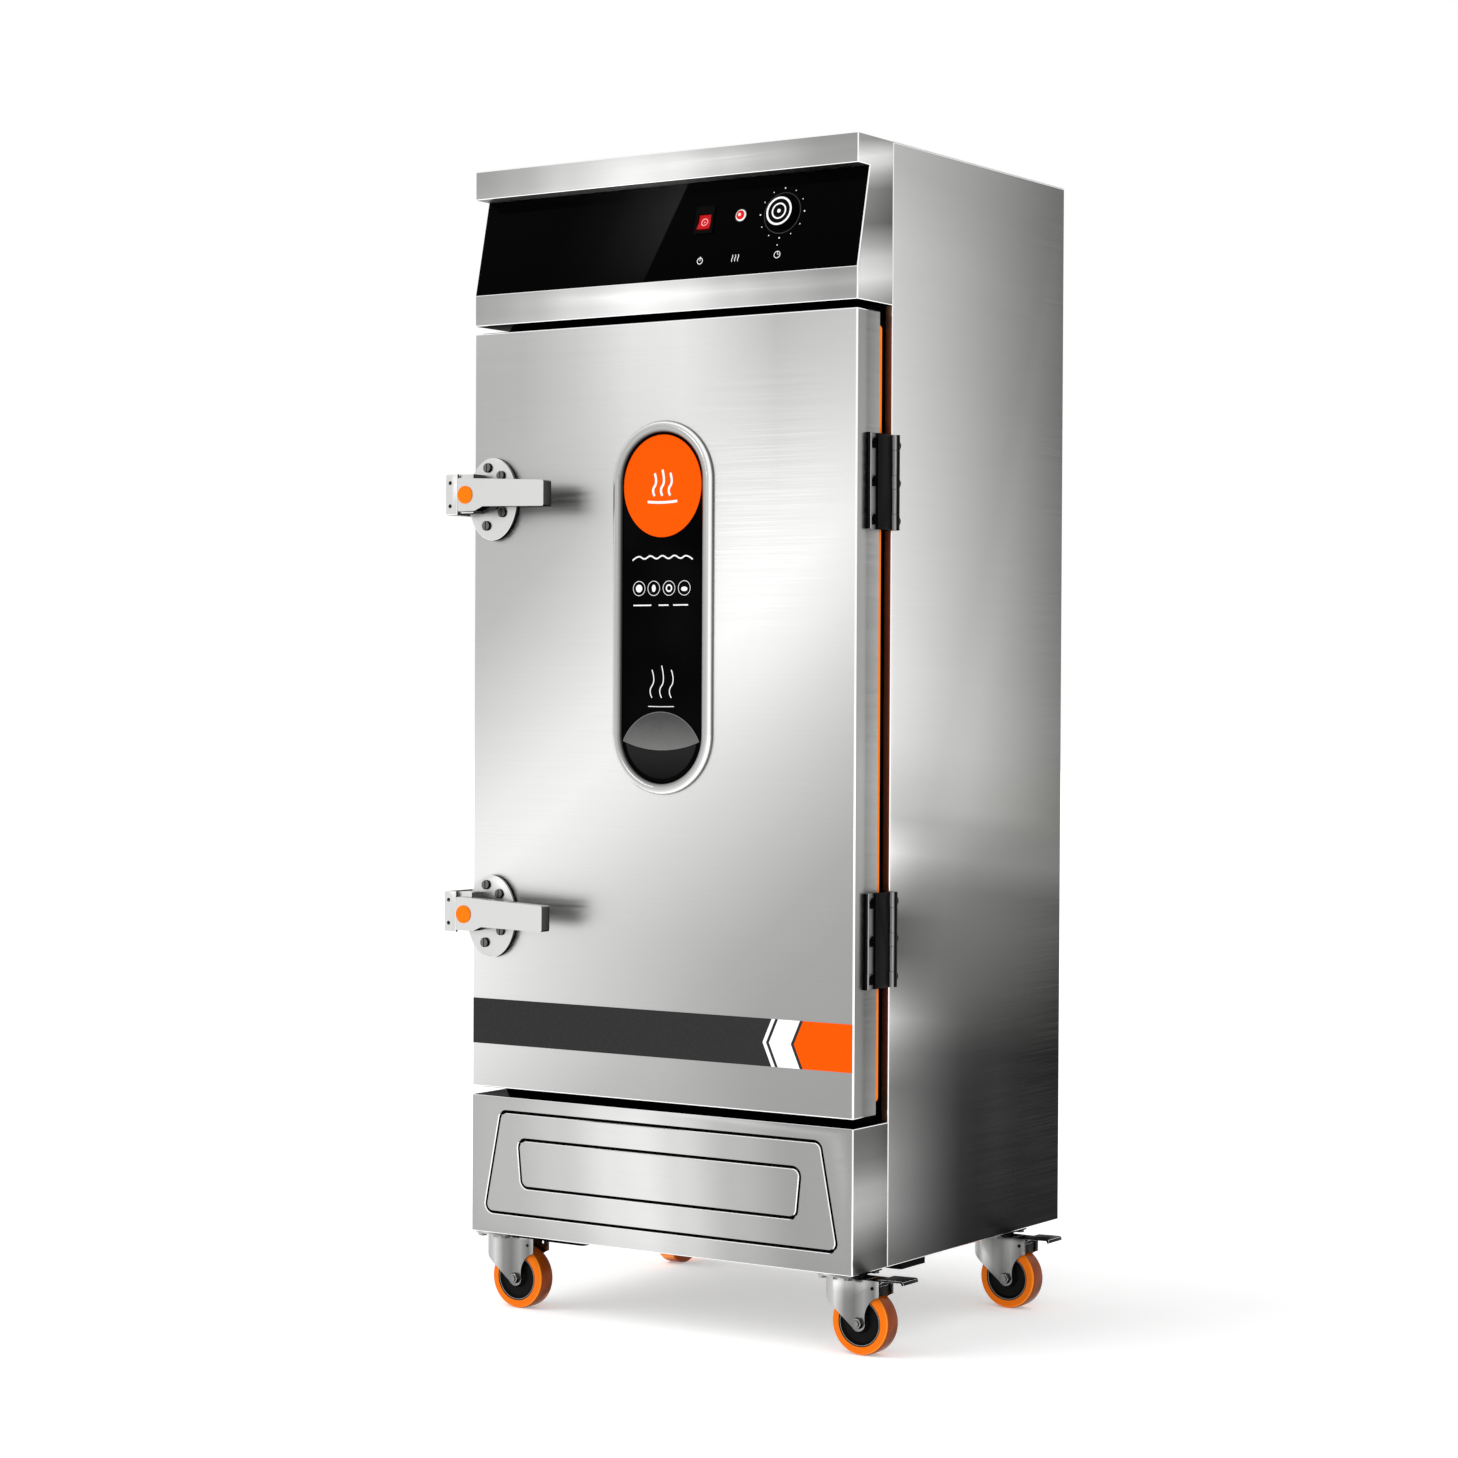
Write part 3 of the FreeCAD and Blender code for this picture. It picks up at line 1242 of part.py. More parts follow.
def tyre():
    w = wheel_width / 2
    s = wheel_shoulder
    bevel = s * 0.3
    return wheel_profile([(-w, hub_radius), (-w, wheel_radius - s), (-w + bevel, wheel_radius - bevel),
                          (-w + s, wheel_radius), (w - s, wheel_radius), (w - bevel, wheel_radius - bevel),
                          (w, wheel_radius - s), (w, hub_radius)])


def hub():
    w = wheel_width / 2
    boss = hub_boss_width / 2
    bore = axle_radius + running_clearance
    rim = hub_radius - hub_rim
    half_profile = [(boss, bore), (boss, hub_boss_radius), (w - hub_dish, hub_boss_radius + 3),
                    (w - hub_dish, rim - 3), (w - 1, rim), (w - 1, hub_radius)]
    return wheel_profile([(-a, r) for a, r in half_profile] + half_profile[::-1])


def pedal():
    # Pressed foot lever with a brake shoe, hinged between the fork's cheeks.
    x = pedal_pivot_x
    z = pedal_pivot_z
    t = pedal_sheet
    top = pedal_top
    neck_x = fork_tail + 1.5
    inner = [(x - 4, z), (x + 4, z), (neck_x + 1, top - t - 3), (neck_x + 1, top - 1), (neck_x - 5, top - 3),
             (x - 4, z + 5)]
    arm = prism(inner, "y", -pedal_width / 2, pedal_width / 2)
    tip = [(neck_x, top - t - 1), (pedal_tip_x - 5, top - t), (pedal_tip_x - 3, top - t - 4),
           (pedal_tip_x, top - t - 3), (pedal_tip_x - 1, top - 1), (pedal_tip_x - 4, top), (neck_x, top - 1)]
    foot = prism(tip, "y", -pedal_tip_width / 2, pedal_tip_width / 2)
    eye = rod(pedal_pin_radius + 2.5, (x, -pedal_width / 2, z), (0, 1, 0), pedal_width)
    pin_half = fork_inner_width / 2 + fork_sheet + 1.0
    pin = rod(pedal_pin_radius, (x, -pin_half, z), (0, 1, 0), 2 * pin_half)
    near = wheel_radius + shoe_gap
    ball = rod(near, (caster_trail, -pedal_width, wheel_radius), (0, 1, 0), 2 * pedal_width)
    shoe = block(x - 2, x + shoe_thickness, -pedal_width / 2 + 3, pedal_width / 2 - 3, z - 14, z + 2)
    shoe = shoe.cut(ball)
    return union([arm, foot, eye, pin, shoe])


def casters():
    for name, x, y, heading, braked in caster_places():
        pieces = {"caster_fork_" + name: group([fork(), axle()]),
                  "tyre_" + name: tyre(),
                  "wheel_hub_" + name: hub()}
        if braked:
            pieces["brake_pedal_" + name] = pedal()
        for node, shape in pieces.items():
            shape.rotate(V(0, 0, 0), V(0, 0, 1), heading)
            shape.translate(V(x, y, 0))
            nodes[node] = shape


side_panels()
top_back_and_base()
chamber()
tray_rack()
heaters()
water_inlet()
drain()
steam_vent_and_gland()
head()
plinth()
door()
badge()
latches()
keepers()
hinges()
caster_top_plates()
casters()
nodes["door_screws"] = group(door_screws)

os.makedirs("parts", exist_ok=True)
for node, shape in sorted(nodes.items()):
    shape.exportStep(os.path.join("parts", node + ".step"))
print(len(nodes), "nodes, overall height", body_top)
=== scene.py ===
# %% [markdown]
# # Rice steamer cabinet
# A catering steamer: a tall insulated cabinet folded from stainless sheet, with one thick door, two lever
# latches, a sloping black control panel and four swivel casters. The CAD model fixes where everything is, and
# this script gives it the looks. Everything is in metres and in the CAD model's own frame.

# %% Load the frame
import math

import bmesh
import bpy
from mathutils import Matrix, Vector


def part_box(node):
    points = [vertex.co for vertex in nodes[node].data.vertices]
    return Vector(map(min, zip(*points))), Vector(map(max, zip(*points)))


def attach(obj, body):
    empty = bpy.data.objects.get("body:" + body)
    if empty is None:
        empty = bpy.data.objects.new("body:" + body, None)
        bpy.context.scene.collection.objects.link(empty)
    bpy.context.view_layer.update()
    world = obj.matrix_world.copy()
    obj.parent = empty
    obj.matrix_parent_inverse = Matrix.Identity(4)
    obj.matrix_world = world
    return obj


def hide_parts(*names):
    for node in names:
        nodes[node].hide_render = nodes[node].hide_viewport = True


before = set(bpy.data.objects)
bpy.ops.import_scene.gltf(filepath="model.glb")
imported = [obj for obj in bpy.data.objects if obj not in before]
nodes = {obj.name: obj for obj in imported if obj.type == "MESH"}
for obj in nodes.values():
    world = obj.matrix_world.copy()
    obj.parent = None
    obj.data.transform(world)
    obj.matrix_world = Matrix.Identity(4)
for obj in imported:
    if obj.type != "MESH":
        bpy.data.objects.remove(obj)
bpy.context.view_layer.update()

# %% [markdown]
# The door's levels are read from its CAD node and the control panel's lean and lower edge are given, so
# that every new piece stands on what carries it.

# %% Levels of the cabinet
door_low, door_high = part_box("door_skin")
face = door_low.y                       # front face of the door, the head and the plinth
lean = math.radians(12.57)              # how far the control panel leans back
panel_foot = 1.5815                     # level of the panel's lower edge
print("door face at", round(face, 4), "door from", round(door_low.z, 4), "to", round(door_high.z, 4))

# %% [markdown]
# Two helpers for edit mode. With a script there is no mouse, so faces and edges are picked by their place and
# their normal. Everything is deselected first, because the loaded CAD nodes are still selected.

# %% Picking helpers
def deselect():
    if bpy.context.object and bpy.context.object.mode != "OBJECT":
        bpy.ops.object.mode_set(mode="OBJECT")
    bpy.ops.object.select_all(action="DESELECT")


def open_piece(piece, mode="FACE"):
    deselect()
    piece.select_set(True)
    bpy.context.view_layer.objects.active = piece
    bpy.ops.object.mode_set(mode="EDIT")
    bpy.ops.mesh.select_mode(type=mode)
    bpy.ops.mesh.select_all(action="DESELECT")


def pick(kind, test):
    mesh = bmesh.from_edit_mesh(bpy.context.object.data)
    mesh.normal_update()
    for part in getattr(mesh, kind):
        if test(part):
            part.select_set(True)
    mesh.select_flush_mode()
    bmesh.update_edit_mesh(bpy.context.object.data)


def close_piece(smooth=30):
    bpy.ops.object.mode_set(mode="OBJECT")
    if smooth:
        bpy.ops.object.shade_smooth_by_angle(angle=math.radians(smooth))
    return bpy.context.object


def finish(piece, body, slot, *materials, stands_for=()):
    # Slots that a bevel already filled keep their faces, so materials are swapped in place.
    slots = piece.data.materials
    for i, material in enumerate(materials):
        if i < len(slots):
            slots[i] = material
        else:
            slots.append(material)
    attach(piece, body)
    if stands_for:
        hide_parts(*stands_for)
    return piece


print("picking helpers ready")

# %% [markdown]
# Colours are written as the hex values that a picture shows. Blender mixes light in linear numbers, so one
# function turns them. One more function adds a node with its settings and what feeds it.

# %% Colour and node helpers
def linear(hex_colour):
    channels = [int(hex_colour[i:i + 2], 16) / 255 for i in (1, 3, 5)]
    return [c / 12.92 if c <= 0.04045 else ((c + 0.055) / 1.055) ** 2.4 for c in channels] + [1.0]


def add(tree, kind, inputs=None, stops=None, **settings):
    node = tree.nodes.new("ShaderNode" + kind)
    for name, value in settings.items():
        setattr(node, name, value)
    for name, value in (inputs or {}).items():
        if isinstance(value, bpy.types.NodeSocket):
            tree.links.new(value, node.inputs[name])
        else:
            node.inputs[name].default_value = value
    if stops:
        band = node.color_ramp
        while len(band.elements) < len(stops):
            band.elements.new(1.0)
        for element, (place, tone) in zip(band.elements, stops):
            element.position = place
            element.color = linear(tone)
    return node


def new_material(name, colour="#808080", metallic=0.0, roughness=0.5, **sockets):
    material = bpy.data.materials.new(name)
    material.use_nodes = True
    tree = material.node_tree
    shader = tree.nodes["Principled BSDF"]
    shader.inputs["Base Color"].default_value = linear(colour)
    shader.inputs["Metallic"].default_value = metallic
    shader.inputs["Roughness"].default_value = roughness
    for name_of_socket, value in sockets.items():
        shader.inputs[name_of_socket.replace("_", " ")].default_value = value
    place = add(tree, "TexCoord").outputs["Object"]
    return material, tree, shader, place


print("orange PU is linear", [round(c, 3) for c in linear("#F2780C")[:3]])

# %% [markdown]
# ## Brushed stainless steel
# The sheets are 304 stainless with a No. 4 finish: an abrasive belt leaves fine lines, about 0.2 mm apart and
# some centimetres long. Steel has little colour of its own and shows the room as soft light and dark areas.
# In an evenly white room it would look flat, so each sheet's material carries painted reflections: the
# broad, soft tones that such a sheet shows in a studio, fixed to the sheet. The lines are drawn 1.6 mm
# apart, eight times coarser than
# the real ones, because finer ones don't show at this distance.

# %% The brushed finish
line_spacing = 1 / 620                  # metres between two brushed lines, drawn coarser than the real 0.2 mm
line_length = 1 / 5                     # metres over which a line fades into the next


def brushed(material, tree, shader, place, tone):
    # Fine streaks of lighter and darker steel over a tone, with the gloss changing a little along them.
    stretched = add(tree, "Mapping", {
        "Vector": place, "Scale": (1 / line_length, 1 / line_length, 1 / line_spacing)}).outputs["Vector"]
    streaks = add(tree, "TexNoise", {"Vector": stretched, "Scale": 1.0, "Detail": 3.0}).outputs["Fac"]
    shade = add(tree, "MapRange", {"Value": streaks, "From Min": 0.3, "From Max": 0.7,
                                   "To Min": 0.975, "To Max": 1.02}).outputs["Result"]
    steel = add(tree, "VectorMath", {0: tone, "Scale": shade}, operation="SCALE").outputs["Vector"]
    tree.links.new(steel, shader.inputs["Base Color"])
    tree.links.new(steel, shader.inputs["Specular Tint"])
    gloss = add(tree, "MapRange", {"Value": streaks, "From Min": 0.3, "From Max": 0.7,
                                   "To Min": 0.3, "To Max": 0.4}).outputs["Result"]
    tree.links.new(gloss, shader.inputs["Roughness"])
    relief = add(tree, "Bump", {"Height": streaks, "Strength": 0.02, "Distance": 0.0002}).outputs["Normal"]
    tree.links.new(relief, shader.inputs["Normal"])
    return material


def along(tree, place, direction, low, high, wobble=0.0, grain=2.2):
    # 0 to 1 between two distances in metres along a direction, with a soft cloudy wobble.
    reach = add(tree, "VectorMath", {0: place, 1: direction}, operation="DOT_PRODUCT").outputs["Value"]
    if wobble:
        cloud = add(tree, "TexNoise", {"Vector": place, "Scale": grain, "Detail": 1.0}).outputs["Fac"]
        reach = add(tree, "Math", {0: cloud, 1: wobble, 2: reach}, operation="MULTIPLY_ADD").outputs["Value"]
    return add(tree, "MapRange", {"Value": reach, "From Min": low, "From Max": high}).outputs["Result"]


print("brushed lines", round(1000 * line_spacing, 1), "mm apart")

# %% [markdown]
# The door's sheet gets painted reflections: one slanting bright area, from high on the right to low on
# the left, and a second soft one at the top. One ladder of tones follows a slanting direction, another runs
# across the top of the sheet, and the two are blended by height.

# %% Door sheet
def door_sheet():
    parts = new_material("brushed stainless, door sheet", metallic=1.0)
    material, tree, shader, place = parts
    slant = along(tree, place, (-0.643, 0.0, 0.766), 0.10, 1.36, wobble=0.02)
    low_tone = add(tree, "ValToRGB", {"Fac": slant}, stops=[
        (0.0, "#949493"), (0.13, "#989897"), (0.20, "#A0A09F"), (0.28, "#B2B2B1"), (0.36, "#C4C4C3"),
        (0.44, "#D7D7D6"), (0.50, "#E1E1E0"), (0.56, "#DDDDDC"), (0.64, "#CECECD"), (0.74, "#B9B9B8"),
        (0.86, "#B5B5B4"), (1.0, "#9A9A99")])
    across = along(tree, place, (1.0, 0.0, 0.0), -0.34, 0.34, wobble=0.01)
    high_tone = add(tree, "ValToRGB", {"Fac": across}, stops=[
        (0.0, "#C0C0BF"), (0.13, "#BEBEBD"), (0.28, "#CFCFCE"), (0.43, "#E6E6E5"), (0.57, "#E4E4E3"),
        (0.69, "#CCCCCB"), (0.82, "#AEAEAD"), (1.0, "#BABAB9")])
    apart = add(tree, "SeparateXYZ", {"Vector": place}).outputs
    height = add(tree, "MapRange", {"Value": apart["Z"], "From Min": 1.00, "From Max": 1.75},
                 interpolation_type="SMOOTHSTEP").outputs["Result"]
    both = add(tree, "Mix", {
        "Factor": height, "A": low_tone.outputs["Color"], "B": high_tone.outputs["Color"]},
        data_type="RGBA").outputs[2]
    # Painted reflection of the pale floor: the lower left corner is lifted by up to 22 %.
    low = add(tree, "MapRange", {"Value": apart["Z"], "From Min": 0.62, "From Max": 0.38},
              interpolation_type="SMOOTHSTEP").outputs["Result"]
    left = add(tree, "MapRange", {"Value": apart["X"], "From Min": 0.22, "From Max": 0.0},
               interpolation_type="SMOOTHSTEP").outputs["Result"]
    floor_reflection = add(tree, "Math", {0: low, 1: left}, operation="MULTIPLY").outputs["Value"]
    floor_reflection = add(tree, "Math", {0: floor_reflection, 1: 0.22, 2: 1.0}, operation="MULTIPLY_ADD").outputs["Value"]
    both = add(tree, "VectorMath", {0: both, "Scale": floor_reflection}, operation="SCALE").outputs["Vector"]
    return brushed(*parts, both)


steel_door = door_sheet()
print("made", steel_door.name)

# %% [markdown]
# The side sheets get painted reflections: light beside the front edge, falling off to dark at the back,
# and low down wide soft bands. Two ladders of tones, one for the front edge and one for the back, are mixed
# by depth.

# %% Side sheets
def side_sheet():
    parts = new_material("brushed stainless, side sheet", metallic=1.0)
    material, tree, shader, place = parts
    rise = along(tree, place, (0.0, 0.10, 1.0), 0.12, 1.78, wobble=0.012, grain=3.0)
    near = add(tree, "ValToRGB", {"Fac": rise}, stops=[
        (0.0, "#747473"), (0.04, "#989898"), (0.09, "#969695"), (0.12, "#888887"), (0.15, "#7E7E7D"),
        (0.18, "#9A9A99"), (0.21, "#C4C4C3"), (0.24, "#949493"), (0.27, "#696968"), (0.30, "#666665"),
        (0.33, "#B0B0AF"), (0.36, "#E8E8E7"), (0.39, "#C2C2C1"), (0.42, "#CBCBCA"), (0.46, "#DBDBDA"),
        (0.52, "#E0E0DF"), (0.60, "#DDDDDC"), (0.70, "#D8D8D7"), (0.90, "#CCCCCB"), (0.97, "#BBBBBA")])
    rear = add(tree, "ValToRGB", {"Fac": rise}, stops=[
        (0.0, "#5A5A5A"), (0.12, "#5E5E5E"), (0.18, "#585858"), (0.21, "#626261"), (0.24, "#6A6A69"),
        (0.27, "#727271"), (0.30, "#787877"), (0.33, "#7B7B7A"), (0.36, "#90908F"), (0.42, "#92928F"),
        (0.49, "#989897"), (0.60, "#969695"), (0.70, "#949493"), (0.80, "#90908F"), (0.97, "#929291")])
    # The painted light near the front edge dies away fast low down, and slowly and evenly higher up.
    depth = along(tree, place, (0.0, -1.0, 0.0), -0.31, 0.23, wobble=0.02)
    power = add(tree, "MapRange", {"Value": rise, "From Min": 0.34, "From Max": 0.41, "To Min": 5.5,
                                   "To Max": 1.15}, interpolation_type="SMOOTHSTEP").outputs["Result"]
    weight = add(tree, "Math", {0: depth, 1: power}, operation="POWER").outputs["Value"]
    both = add(tree, "Mix", {"Factor": weight, "A": rear.outputs["Color"], "B": near.outputs["Color"]},
               data_type="RGBA")
    # Painted shade: low down a dark patch lies in the middle of the sheet's depth.
    patch = add(tree, "ValToRGB", {"Fac": depth}, stops=[
        (0.0, "#FFFFFF"), (0.14, "#F4F4F4"), (0.25, "#E7E7E7"), (0.38, "#E2E2E2"), (0.50, "#CBCBCB"),
        (0.59, "#C7C7C7"), (0.68, "#DDDDDD"), (0.77, "#F0F0F0"), (0.88, "#FFFFFF"), (1.0, "#FFFFFF")])
    lowness = add(tree, "MapRange", {"Value": rise, "From Min": 0.13, "From Max": 0.24, "To Min": 1.0,
                                     "To Max": 0.0}).outputs["Result"]
    toned = add(tree, "Mix", {"Factor": lowness, "A": both.outputs[2], "B": patch.outputs["Color"]},
                data_type="RGBA", blend_type="MULTIPLY")
    return brushed(*parts, toned.outputs[2])


def seal_reflection_strip():
    # Painted reflection of the orange seal and the dark gap before it, on the fold behind the door.
    material, tree, shader, place = new_material("brushed stainless, painted seal reflection", metallic=1.0,
                                                 roughness=0.35)
    across = along(tree, place, (1.0, 0.0, 0.0), 0.330, 0.350, wobble=0.002, grain=9.0)
    tone = add(tree, "ValToRGB", {"Fac": across}, stops=[
        (0.0, "#3C3A3C"), (0.3, "#6A544C"), (0.6, "#A87860"), (1.0, "#B08068")])
    tree.links.new(tone.outputs["Color"], shader.inputs["Specular Tint"])
    tree.links.new(tone.outputs["Color"], shader.inputs["Base Color"])
    return material


steel_side = side_sheet()
steel_seal_reflection = seal_reflection_strip()
print("made", steel_side.name, "and", steel_seal_reflection.name)

# %% [markdown]
# The head and the plinth get a painted reflection, one bright area in the middle of their fronts. Their
# right-hand cheeks and the door's narrow side get painted reflections in tones that change with height.

# %% Fronts, cheeks and plain sheets
half_body = 0.35                        # half the cabinet's width
cheek_depth = 0.098                     # how far the head, the plinth and the door stand forward of the body


def front_sheet(name, shift, stops):
    # Painted reflections: tones from left to right, with the ladder's middle shifted off the sheet's middle.
    parts = new_material(name, metallic=1.0)
    material, tree, shader, place = parts
    across = along(tree, place, (1.0, 0.0, 0.12), shift - half_body, shift + half_body, wobble=0.02)
    tone = add(tree, "ValToRGB", {"Fac": across}, stops=stops)
    tone.color_ramp.interpolation = "EASE"
    return brushed(*parts, tone.outputs["Color"])


def cheek_sheet(name, low, high, stops, slant=0.0, fades=(1.0, 1.0)):
    # Painted reflections: tones from bottom to top, dimmed or lifted from the front edge to the back by two
    # factors.
    parts = new_material(name, metallic=1.0)
    material, tree, shader, place = parts
    rise = along(tree, place, (0.0, slant, 1.0), low, high, wobble=0.006, grain=6.0)
    tone = add(tree, "ValToRGB", {"Fac": rise}, stops=stops).outputs["Color"]
    back = along(tree, place, (0.0, 1.0, 0.0), face, face + cheek_depth)
    dim = add(tree, "MapRange", {"Value": back, "To Min": fades[0], "To Max": fades[1]}).outputs["Result"]
    tone = add(tree, "VectorMath", {0: tone, "Scale": dim}, operation="SCALE").outputs["Vector"]
    return brushed(*parts, tone)


def plain_sheet(name, tone):
    # One tone with a soft cloudiness, for sheets that are seen little.
    parts = new_material(name, metallic=1.0)
    material, tree, shader, place = parts
    cloud = add(tree, "TexNoise", {"Vector": place, "Scale": 1.6, "Detail": 1.0}).outputs["Fac"]
    soft = add(tree, "MapRange", {"Value": cloud, "From Min": 0.3, "From Max": 0.7, "To Min": 0.9,
                                  "To Max": 1.08}).outputs["Result"]
    base = add(tree, "VectorMath", {0: linear(tone)[:3], "Scale": soft}, operation="SCALE").outputs["Vector"]
    return brushed(*parts, base)


steel_head = front_sheet("brushed stainless, head front", 0.165, [
    (0.0, "#9A9A99"), (0.10, "#A6A6A5"), (0.20, "#B3B3B2"), (0.33, "#CECECD"), (0.50, "#E6E6E5"),
    (0.60, "#DBDBDA"), (0.74, "#BFBFBE"), (0.86, "#ACACAB"), (1.0, "#989897")])
steel_plinth = front_sheet("brushed stainless, plinth front", 0.03, [
    (0.0, "#A9A9A8"), (0.12, "#ADADAC"), (0.26, "#BCBCBB"), (0.40, "#D4D4D3"), (0.48, "#D8D8D7"),
    (0.58, "#C9C9C8"), (0.72, "#ACACAB"), (0.88, "#969695"), (1.0, "#989897")])
steel_head_cheek = cheek_sheet("brushed stainless, head cheek", 1.575, 1.815, [
    (0.0, "#9A9A99"), (0.10, "#C0C0BF"), (0.16, "#D8D8D7"), (0.28, "#CACAC9"), (0.365, "#AAAAA9"),
    (0.49, "#7A7A79"), (0.70, "#8A8A89"), (0.78, "#B0B0AF"), (0.85, "#D8D8D7"), (0.90, "#E2E2E1"),
    (0.95, "#C6C6C5"), (1.0, "#A0A09F")], slant=-0.16)
steel_plinth_cheek = cheek_sheet("brushed stainless, plinth cheek", 0.12, 0.335, [
    (0.0, "#747473"), (0.14, "#70706F"), (0.26, "#8A8A89"), (0.37, "#A4A4A3"), (0.49, "#ACACAB"),
    (0.60, "#A4A4A3"), (0.70, "#8A8A89"), (0.79, "#787877"), (0.95, "#6C6C6B")], fades=(1.0, 1.02))
steel_door_cheek = cheek_sheet("brushed stainless, door side", 0.36, 1.54, [
    (0.0, "#A0A09F"), (0.16, "#8E8E8D"), (0.30, "#AEAEAD"), (0.42, "#BABAB9"), (0.50, "#B4B4B3"),
    (0.75, "#B8B8B7"), (1.0, "#A8A8A7")], fades=(0.72, 1.6))
# The top gets a painted reflection, brightest across its middle.
steel_top = front_sheet("brushed stainless, top", 0.165, [
    (0.0, "#B4B4B3"), (0.3, "#E4E4E3"), (0.5, "#FAFAF9"), (0.7, "#D0D0CF"), (1.0, "#A8A8A7")])
steel_plain = plain_sheet("brushed stainless, back and inside", "#BCBCBA")
# A near-black sheet of painted shade, for faces that lie in the gaps round the door.
steel_painted_shade = plain_sheet("brushed stainless painted as shade, in the door gap", "#101010")
print("made eight more sheets")

# %% [markdown]
# Where a sheet is folded, the fold is a narrow cylinder that always finds a light, so every fold shows a
# thin white line. The folds get their own smoother steel with a painted highlight. The part of a fold that
# turns to the back or the ceiling gets painted shade, the darker end of the studio.

# %% Folded edges and embossed lines
def painted_edge_highlight():
    # Painted highlight: white where a fold turns to the front and the right, painted shade in grey where it
    # turns away.
    material, tree, shader, place = new_material("smooth stainless, painted highlight on folded edge", metallic=1.0,
                                                 roughness=0.16)
    # A little noise wobbles where the painted highlight ends.
    highlight_wobble = add(tree, "TexNoise", {"Vector": place, "Scale": 60.0, "Detail": 2.0}).outputs["Fac"]
    way = add(tree, "TexCoord").outputs["Normal"]
    turn = add(tree, "VectorMath", {0: way, 1: (0.54, -0.84, 0.0)}, operation="DOT_PRODUCT").outputs["Value"]
    turn = add(tree, "Math", {0: highlight_wobble, 1: 0.1, 2: turn}, operation="MULTIPLY_ADD").outputs["Value"]
    tone = add(tree, "ValToRGB", {"Fac": turn}, stops=[
        (0.0, "#8C8C8B"), (0.22, "#A4A4A3"), (0.42, "#FFFFFF"), (1.0, "#FFFFFF")])
    tree.links.new(tone.outputs["Color"], shader.inputs["Base Color"])
    return material


def painted_line_shade():
    # Painted shade: the bottom of a pressed line is painted near black, with a faint speckle.
    material, tree, shader, place = new_material("stainless painted as shade, bottom of a pressed line", metallic=1.0,
                                                 roughness=0.5)
    line_speckle = add(tree, "TexNoise", {"Vector": place, "Scale": 90.0, "Detail": 3.0}).outputs["Fac"]
    tone = add(tree, "ValToRGB", {"Fac": line_speckle}, stops=[(0.2, "#040404"), (0.9, "#0A0A0A")])
    tree.links.new(tone.outputs["Color"], shader.inputs["Specular Tint"])
    tree.links.new(tone.outputs["Color"], shader.inputs["Base Color"])
    return material


steel_edge_highlight = painted_edge_highlight()
steel_line_shade = painted_line_shade()
print("made", steel_edge_highlight.name, "and", steel_line_shade.name)

# %% [markdown]
# ## Small metal parts
# Castings and pressings turn through many directions, and each direction finds a lighter or darker part of
# the room: tops and left faces light, right faces and undersides dark. Their tone is painted light and shade
# that follows the way the surface faces on the part itself.

# %% Cast and plated metals
light_side = (-0.55, -0.45, 0.70)       # the direction from which most of the room's light comes


def facing_metal(name, stops, roughness, grain=240.0, depth=0.0001, wave=False):
    # The grain is given in cells per metre: 240 for the 4 mm ripple of a pressing, 900 for a casting's skin.
    material, tree, shader, place = new_material(name, metallic=1.0, roughness=roughness)
    way = add(tree, "TexCoord").outputs["Normal"]
    turn = add(tree, "VectorMath", {0: way, 1: light_side}, operation="DOT_PRODUCT").outputs["Value"]
    grit = add(tree, "TexNoise", {"Vector": place, "Scale": grain, "Detail": 3.0}).outputs["Fac"]
    turn = add(tree, "Math", {0: grit, 1: 0.12, 2: turn}, operation="MULTIPLY_ADD").outputs["Value"]
    turn = add(tree, "MapRange", {"Value": turn, "From Min": -0.95, "From Max": 1.05}).outputs["Result"]
    tone = add(tree, "ValToRGB", {"Fac": turn}, stops=stops).outputs["Color"]
    # The forks also get painted reflection bands.
    if wave:
        tone = add(tree, "VectorMath", {0: tone, "Scale": painted_fork_reflections(tree, place)},
                   operation="SCALE").outputs["Vector"]
    tree.links.new(tone, shader.inputs["Base Color"])
    tree.links.new(tone, shader.inputs["Specular Tint"])
    relief = add(tree, "Bump", {"Height": grit, "Strength": 0.15, "Distance": depth}).outputs["Normal"]
    tree.links.new(relief, shader.inputs["Normal"])
    return material


caster_spacing = 0.628                  # from the left casters to the right ones


def painted_fork_reflections(tree, place):
    # Painted reflections: light and dark upright bands across a fork's slightly bulged cheek, from its nose
    # to its tail. The remainder by the casters' spacing gives the same place on the left fork and the right
    # one.
    across = add(tree, "SeparateXYZ", {"Vector": place}).outputs["X"]
    across = add(tree, "Math", {0: across, 1: 0.364}, operation="ADD").outputs["Value"]
    across = add(tree, "Math", {0: across, 1: caster_spacing}, operation="MODULO").outputs["Value"]
    across = add(tree, "MapRange", {"Value": across, "From Min": 0.012, "From Max": 0.116}).outputs["Result"]
    band = add(tree, "ValToRGB", {"Fac": across}, stops=[
        (0.0, "#BEBEBE"), (0.08, "#FFFFFF"), (0.16, "#CACACA"), (0.27, "#F6F6F6"), (0.42, "#A2A2A2"),
        (0.58, "#8C8C8C"), (0.74, "#BABABA"), (0.90, "#8A8A8A"), (1.0, "#E0E0E0")])
    return add(tree, "RGBToBW", {"Color": band.outputs["Color"]}).outputs["Val"]


# Die-cast zinc with a satin plating: pale, slightly soft in its highlights, with painted light and shade.
cast_zinc = facing_metal("die-cast zinc, satin plated", [
    (0.0, "#2A2A29"), (0.28, "#5C5C5B"), (0.44, "#8A8A89"), (0.58, "#C0C0BF"), (0.72, "#CACAC9"),
    (0.84, "#E0E0DF"), (1.0, "#F6F6F5")], 0.3, grain=900.0, depth=0.00002)
